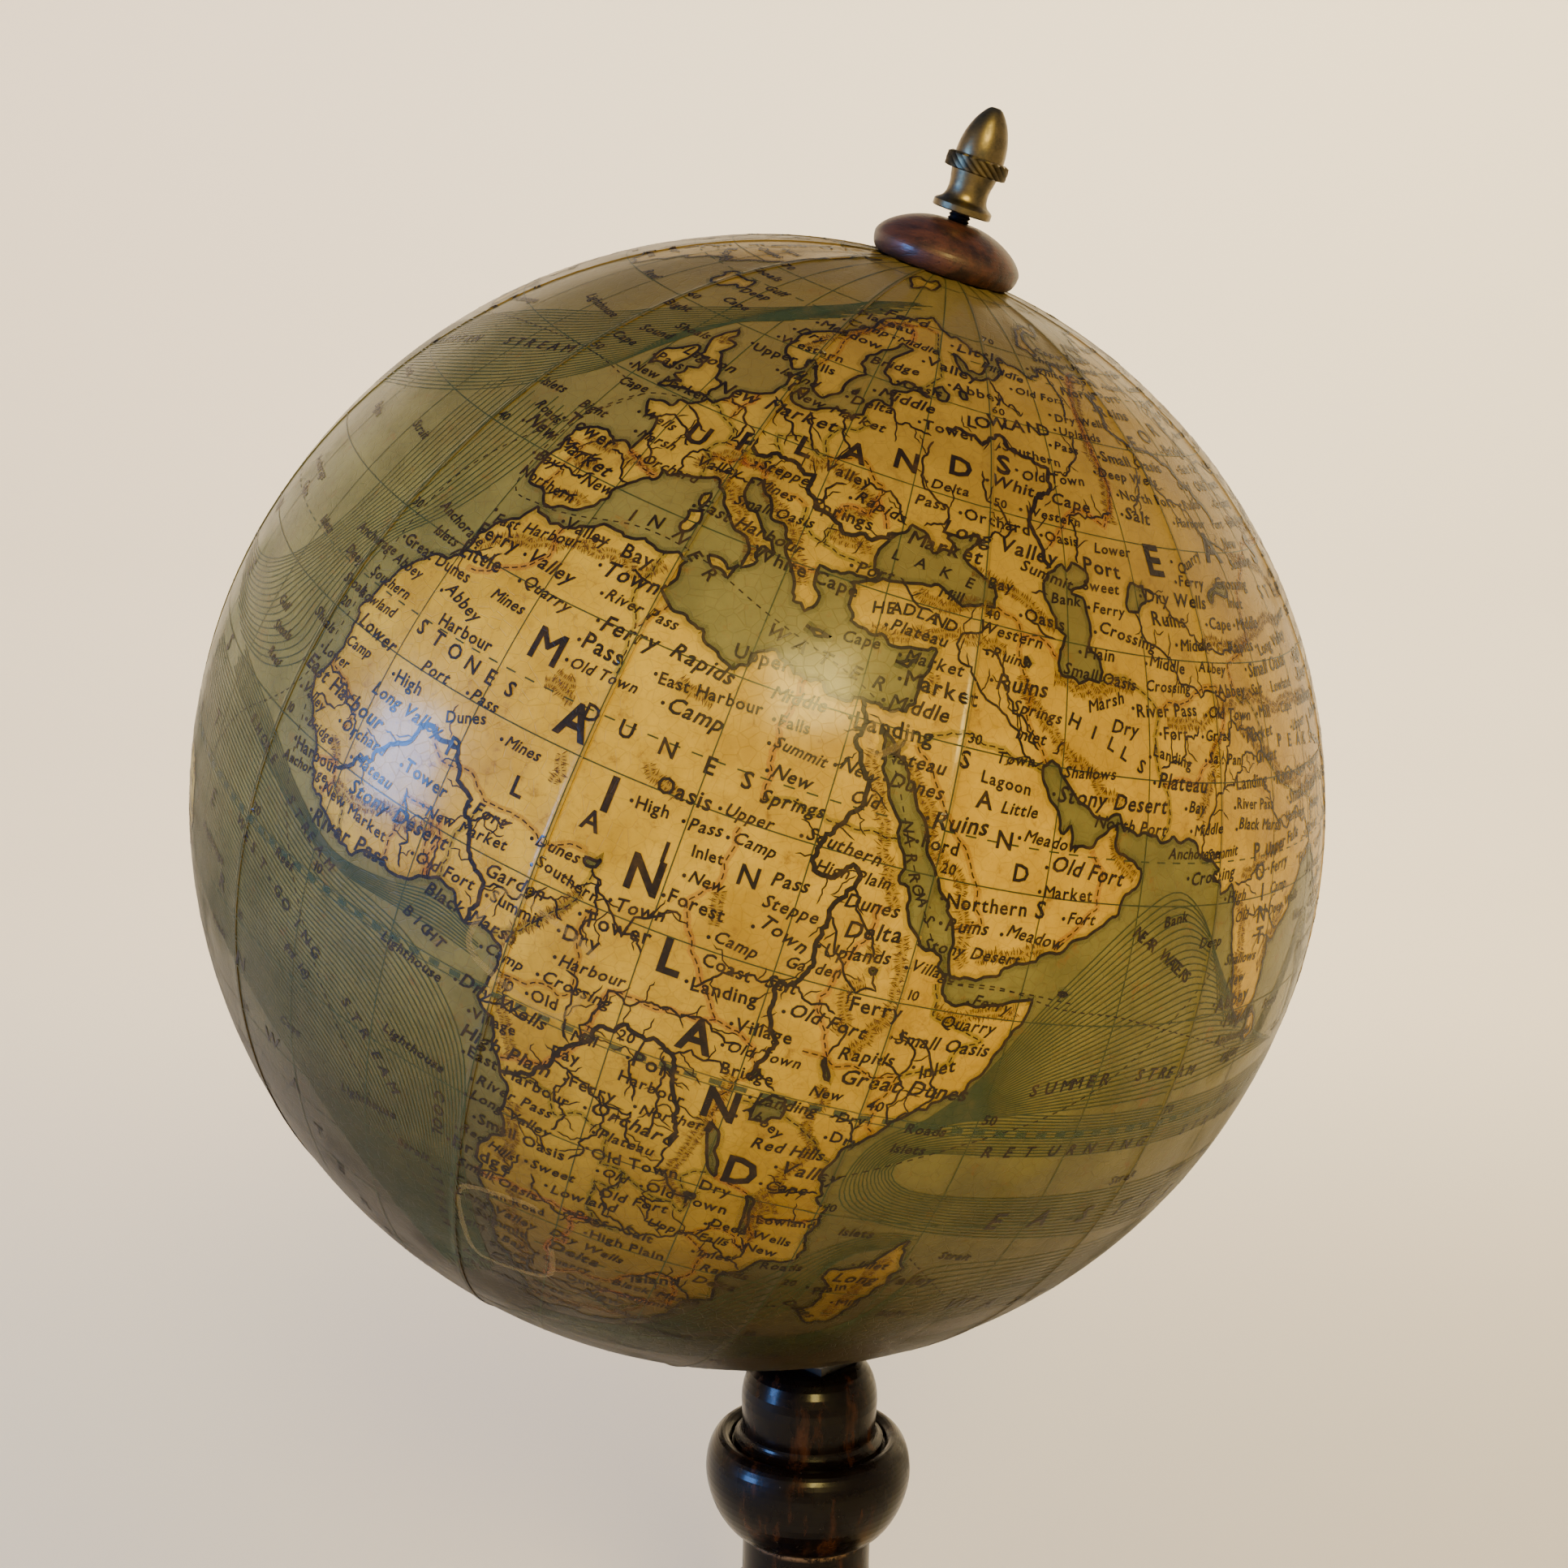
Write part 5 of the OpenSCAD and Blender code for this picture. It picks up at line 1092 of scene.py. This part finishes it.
scratches = steel.noise(0.0008, 4, 0.6, stretch=(1, 1, 6))
steel.set("Roughness", 0.3 + 0.25 * scratches)
steel.bump(scratches, 0.00008, 0.4)
give(steel, "north_tacks", "south_tacks", "tie_bolt", "tie_washer", "tie_nut", "rod_washer", "rod_nut")
dark_steel = Finish("darkened_steel", Metallic=0.85)
rust = dark_steel.between(dark_steel.noise(0.002, 5, 0.7), 0.45, 0.7)
dark_steel.set("Base Color", dark_steel.mix(rust, rgb(52, 50, 50), rgb(64, 46, 34)))
dark_steel.set("Roughness", 0.38 + 0.3 * rust)
give(dark_steel, "axis_rod")
leather = Finish("leather", Roughness=0.7)
hide = leather.noise(0.0012, 5, 0.7)
leather.set("Base Color", leather.mix(hide, rgb(96, 60, 34), rgb(128, 84, 50)))
leather.bump(hide, 0.0002, 0.6)
give(leather, "thrust_washer")

# Polar disc: a turned mahogany bun, polished dark, that covers the paper's edge at the north pole.
mahogany = Finish("mahogany")
along_grain = mahogany.noise(0.0035, 5, 0.65, stretch=(0.16, 1, 1))
pores = mahogany.between(mahogany.noise(0.0007, 3, 0.6, stretch=(0.08, 1, 1)), 0.56, 0.7)
tone = mahogany.mix(mahogany.between(along_grain, 0.3, 0.7), rgb(26, 12, 7), rgb(74, 40, 26))
tone = mahogany.mix(0.5 * pores, tone, rgb(18, 10, 5))
mahogany.set("Base Color", tone)
mahogany.set("Roughness", 0.4 + 0.2 * along_grain)
mahogany.set("Specular IOR Level", 0.3)
mahogany.set("Coat Weight", 0.2 - 0.15 * pores)
mahogany.set("Coat Roughness", 0.22)
mahogany.bump(along_grain - 0.5 * pores, 0.0002, 0.5)
give(mahogany, "polar_disc")

# Acorn finial: turned brass, with a foot, a waist, a knurled cup and a blunt kernel. Its foot stands
# a little above the disc, and the rod screws into it from below.
acorn_steps = """3.2,2.5 3.2,0 7.6,0 7.9,.3 7.9,1.7 7.5,2.15 6.7,2.6 6.2,3 5.9,3.4 5.6,4.1 5.45,5 5.4,5.8
    5.45,6.6 5.55,7.4 5.75,8.2 5.95,9.2 6.15,10.15 7.35,10.15 7.6,10.4 7.66,11.1 7.7,11.95 7.7,12.8
    7.66,13.65 7.5,14.05 7.35,14.2 6.5,14.2 6.5,15 6.44,16 6.3,17.1 6.1,18.2 5.84,19.3 5.5,20.4 5.08,21.5
    4.58,22.6 3.98,23.7 3.3,24.7 2.6,25.6 1.95,26.3 1.2,26.72 .5,26.8"""
acorn_outline = places(acorn_steps) * 0.001
bpy.ops.object.select_all(action="DESELECT")
reach, height = acorn_outline[0]
bpy.ops.mesh.primitive_circle_add(vertices=40, radius=reach, location=(0, 0, height))
acorn = bpy.context.object
acorn.name = "acorn"
bpy.ops.object.transform_apply(location=True, rotation=True, scale=True)
bpy.ops.object.mode_set(mode="EDIT")
bpy.ops.mesh.select_mode(type="EDGE")
bpy.ops.mesh.select_all(action="SELECT")
for radius, level in acorn_outline[1:]:
    bpy.ops.mesh.extrude_edges_move(TRANSFORM_OT_translate={"value": (0, 0, level - height)})
    bpy.ops.transform.resize(value=(radius / reach, radius / reach, 1), center_override=(0, 0, level))
    reach, height = radius, level
bpy.ops.mesh.edge_face_add()
bpy.ops.mesh.select_all(action="SELECT")
bpy.ops.mesh.normals_make_consistent(inside=False)
bpy.ops.object.mode_set(mode="OBJECT")
knurl_rows = [0.0104, 0.0111, 0.01195, 0.0128, 0.01365]
cup_inside = 0.0074
# The sunk corners of the knurl are marked for painted shade in the brass finish.
groove_shade_marks = [0.0] * len(acorn.data.vertices)
for vert in acorn.data.vertices:
    for row, level in enumerate(knurl_rows):
        step = round(math.degrees(math.atan2(vert.co.y, vert.co.x)) / 9)
        outer = math.hypot(vert.co.x, vert.co.y) > cup_inside
        if outer and abs(vert.co.z - level) < 0.00004:
            proud = 1.08 if (step + row) % 2 else 0.955
            groove_shade_marks[vert.index] = 0.0 if proud > 1 else 1.0
            vert.co = (vert.co.x * proud, vert.co.y * proud, vert.co.z)
acorn.data.attributes.new("groove", "FLOAT", "POINT").data.foreach_set("value", groove_shade_marks)
acorn.data.transform(Matrix((tilted_x, tilted_y, pole)).transposed().to_4x4())
foot_above_centre = 0.1744
acorn.data.transform(Matrix.Translation(ball_centre + pole * foot_above_centre))
only(acorn)
bpy.ops.object.shade_smooth_by_angle(angle=math.radians(20))
acorn.data.materials.append(brass.material)
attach(acorn, "finial")
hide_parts("acorn_finial")

# Column, foot and its lower turnings: hardwood stained black and French polished. The polish has worn brown in
# streaks, and the stain has chipped along the joint under the knop.
ebony = Finish("ebonised_wood")
joint_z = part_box("knop")[0][2]
up_column = ebony.node("SeparateXYZ", {}, {"Vector": ebony.place}, 2)
streak = ebony.noise(0.006, 5, 0.65, stretch=(1, 1, 0.22))
worn = ebony.between(streak, 0.52, 0.7)
dull = ebony.between(ebony.noise(0.012, 4, 0.6), 0.45, 0.7)
tone = ebony.mix(worn, rgb(9, 5, 4), rgb(50, 27, 13))
from_joint = ebony.node("Math", {"operation": "ABSOLUTE"}, {0: up_column - joint_z})
by_joint = 1 - ebony.between(from_joint, 0.0004, 0.0021)
chips = by_joint * ebony.between(ebony.noise(0.0024, 5, 0.75), 0.44, 0.54)
tone = ebony.mix(chips, tone, rgb(118, 92, 66))
specks = ebony.between(ebony.noise(0.0014, 2, 0.5), 0.76, 0.8)
tone = ebony.mix(0.5 * specks, tone, rgb(120, 110, 100))
ebony.set("Base Color", tone)
ebony.set("Roughness", 0.24 + 0.22 * dull + 0.2 * chips)
ebony.set("Specular IOR Level", 0.1)
ebony.set("Coat Weight", 0.08 - 0.06 * dull)
ebony.set("Coat Roughness", 0.12)
ebony.bump(0.4 * streak + 0.4 * dull - 1.0 * chips, 0.0003, 0.35)
give(ebony, "knop", "shaft", "foot")
lacquer = Finish("black_lacquer", Metallic=0.0)
brushed = lacquer.noise(0.003, 5, 0.6)
lacquer.set("Base Color", lacquer.mix(brushed, rgb(20, 20, 21), rgb(34, 32, 30)))
lacquer.set("Roughness", 0.32 + 0.15 * brushed)
give(lacquer, "arm")
baize = Finish("green_baize", Roughness=0.95)
nap = baize.noise(0.0009, 5, 0.8)
baize.set("Base Color", baize.mix(nap, rgb(36, 58, 36), rgb(66, 92, 58)))
baize.bump(nap, 0.0006, 0.9)
give(baize, "base_felt")

# A pale floor that runs up into a plain wall all round. A warm lamp and a cool window light the ball,
# two lamps that face away from it light the wall, and the room adds a little.
stage_finish = Finish("pale_stage", Base_Color=rgb(246, 235, 212), Roughness=0.9, Specular_IOR_Level=0.1)
steps = [(0.0, 0.0), (0.6, 0.0), (1.2, 0.0), (1.8, 0.0), (2.3, 0.04), (2.7, 0.2), (2.95, 0.5), (3.05, 1.0)]
steps += [(3.1, 1.8), (3.1, 3.0)]
bpy.ops.mesh.primitive_circle_add(vertices=96, radius=0.2, fill_type="NGON", location=(0, 0, 0))
floor = bpy.context.object
floor.name = "floor"
bpy.ops.object.mode_set(mode="EDIT")
bpy.ops.mesh.select_all(action="SELECT")
bpy.ops.mesh.edge_face_add()
reach, height = 0.2, 0.0
bpy.ops.mesh.select_mode(type="EDGE")
bpy.ops.mesh.select_all(action="SELECT")
for radius, level in steps[1:]:
    bpy.ops.mesh.extrude_edges_move(TRANSFORM_OT_translate={"value": (0, 0, level - height)})
    bpy.ops.transform.resize(value=(radius / reach, radius / reach, 1), center_override=(0, 0, level))
    reach, height = radius, level
bpy.ops.mesh.select_all(action="SELECT")
bpy.ops.mesh.normals_make_consistent(inside=True)
bpy.ops.object.mode_set(mode="OBJECT")
bpy.ops.object.shade_smooth()
floor.data.materials.append(stage_finish.material)


def softbox(name, way, distance, size, power, colour, facing=None):
    """A square lamp this far from the ball's middle. It faces the ball, or the other way that it is told."""
    lamp = bpy.data.objects.new(name, bpy.data.lights.new(name, "AREA"))
    lamp.data.size = size
    lamp.data.energy = power
    lamp.data.color = colour
    lamp.location = ball_centre + Vector(way).normalized() * distance
    lamp.rotation_mode = "QUATERNION"
    lamp.rotation_quaternion = (Vector(way) if facing is None else -Vector(facing)).to_track_quat("Z", "Y")
    bpy.context.scene.collection.objects.link(lamp)


softbox("warm_lamp", (1.07, -0.78, 0.61), 1.45, 0.34, 24, (1.0, 0.77, 0.24))
softbox("window", (-0.60, -1.48, 0.22), 1.6, 0.42, 34, (0.14, 0.38, 1.0))
softbox("wall_light_left", (-1.5, 0.35, 1.9), 2.2, 1.6, 44, (0.98, 0.88, 0.86), (-0.75, 0.3, -0.6))
softbox("wall_light_right", (-0.35, 1.5, 1.9), 2.2, 1.6, 74, (1.0, 0.88, 0.62), (-0.3, 0.75, -0.6))
room = bpy.data.worlds.new("room")
room.use_nodes = True
room.node_tree.nodes["Background"].inputs["Color"].default_value = (0.52, 0.64, 1.0, 1)
room.node_tree.nodes["Background"].inputs["Strength"].default_value = 0.25
bpy.context.scene.world = room
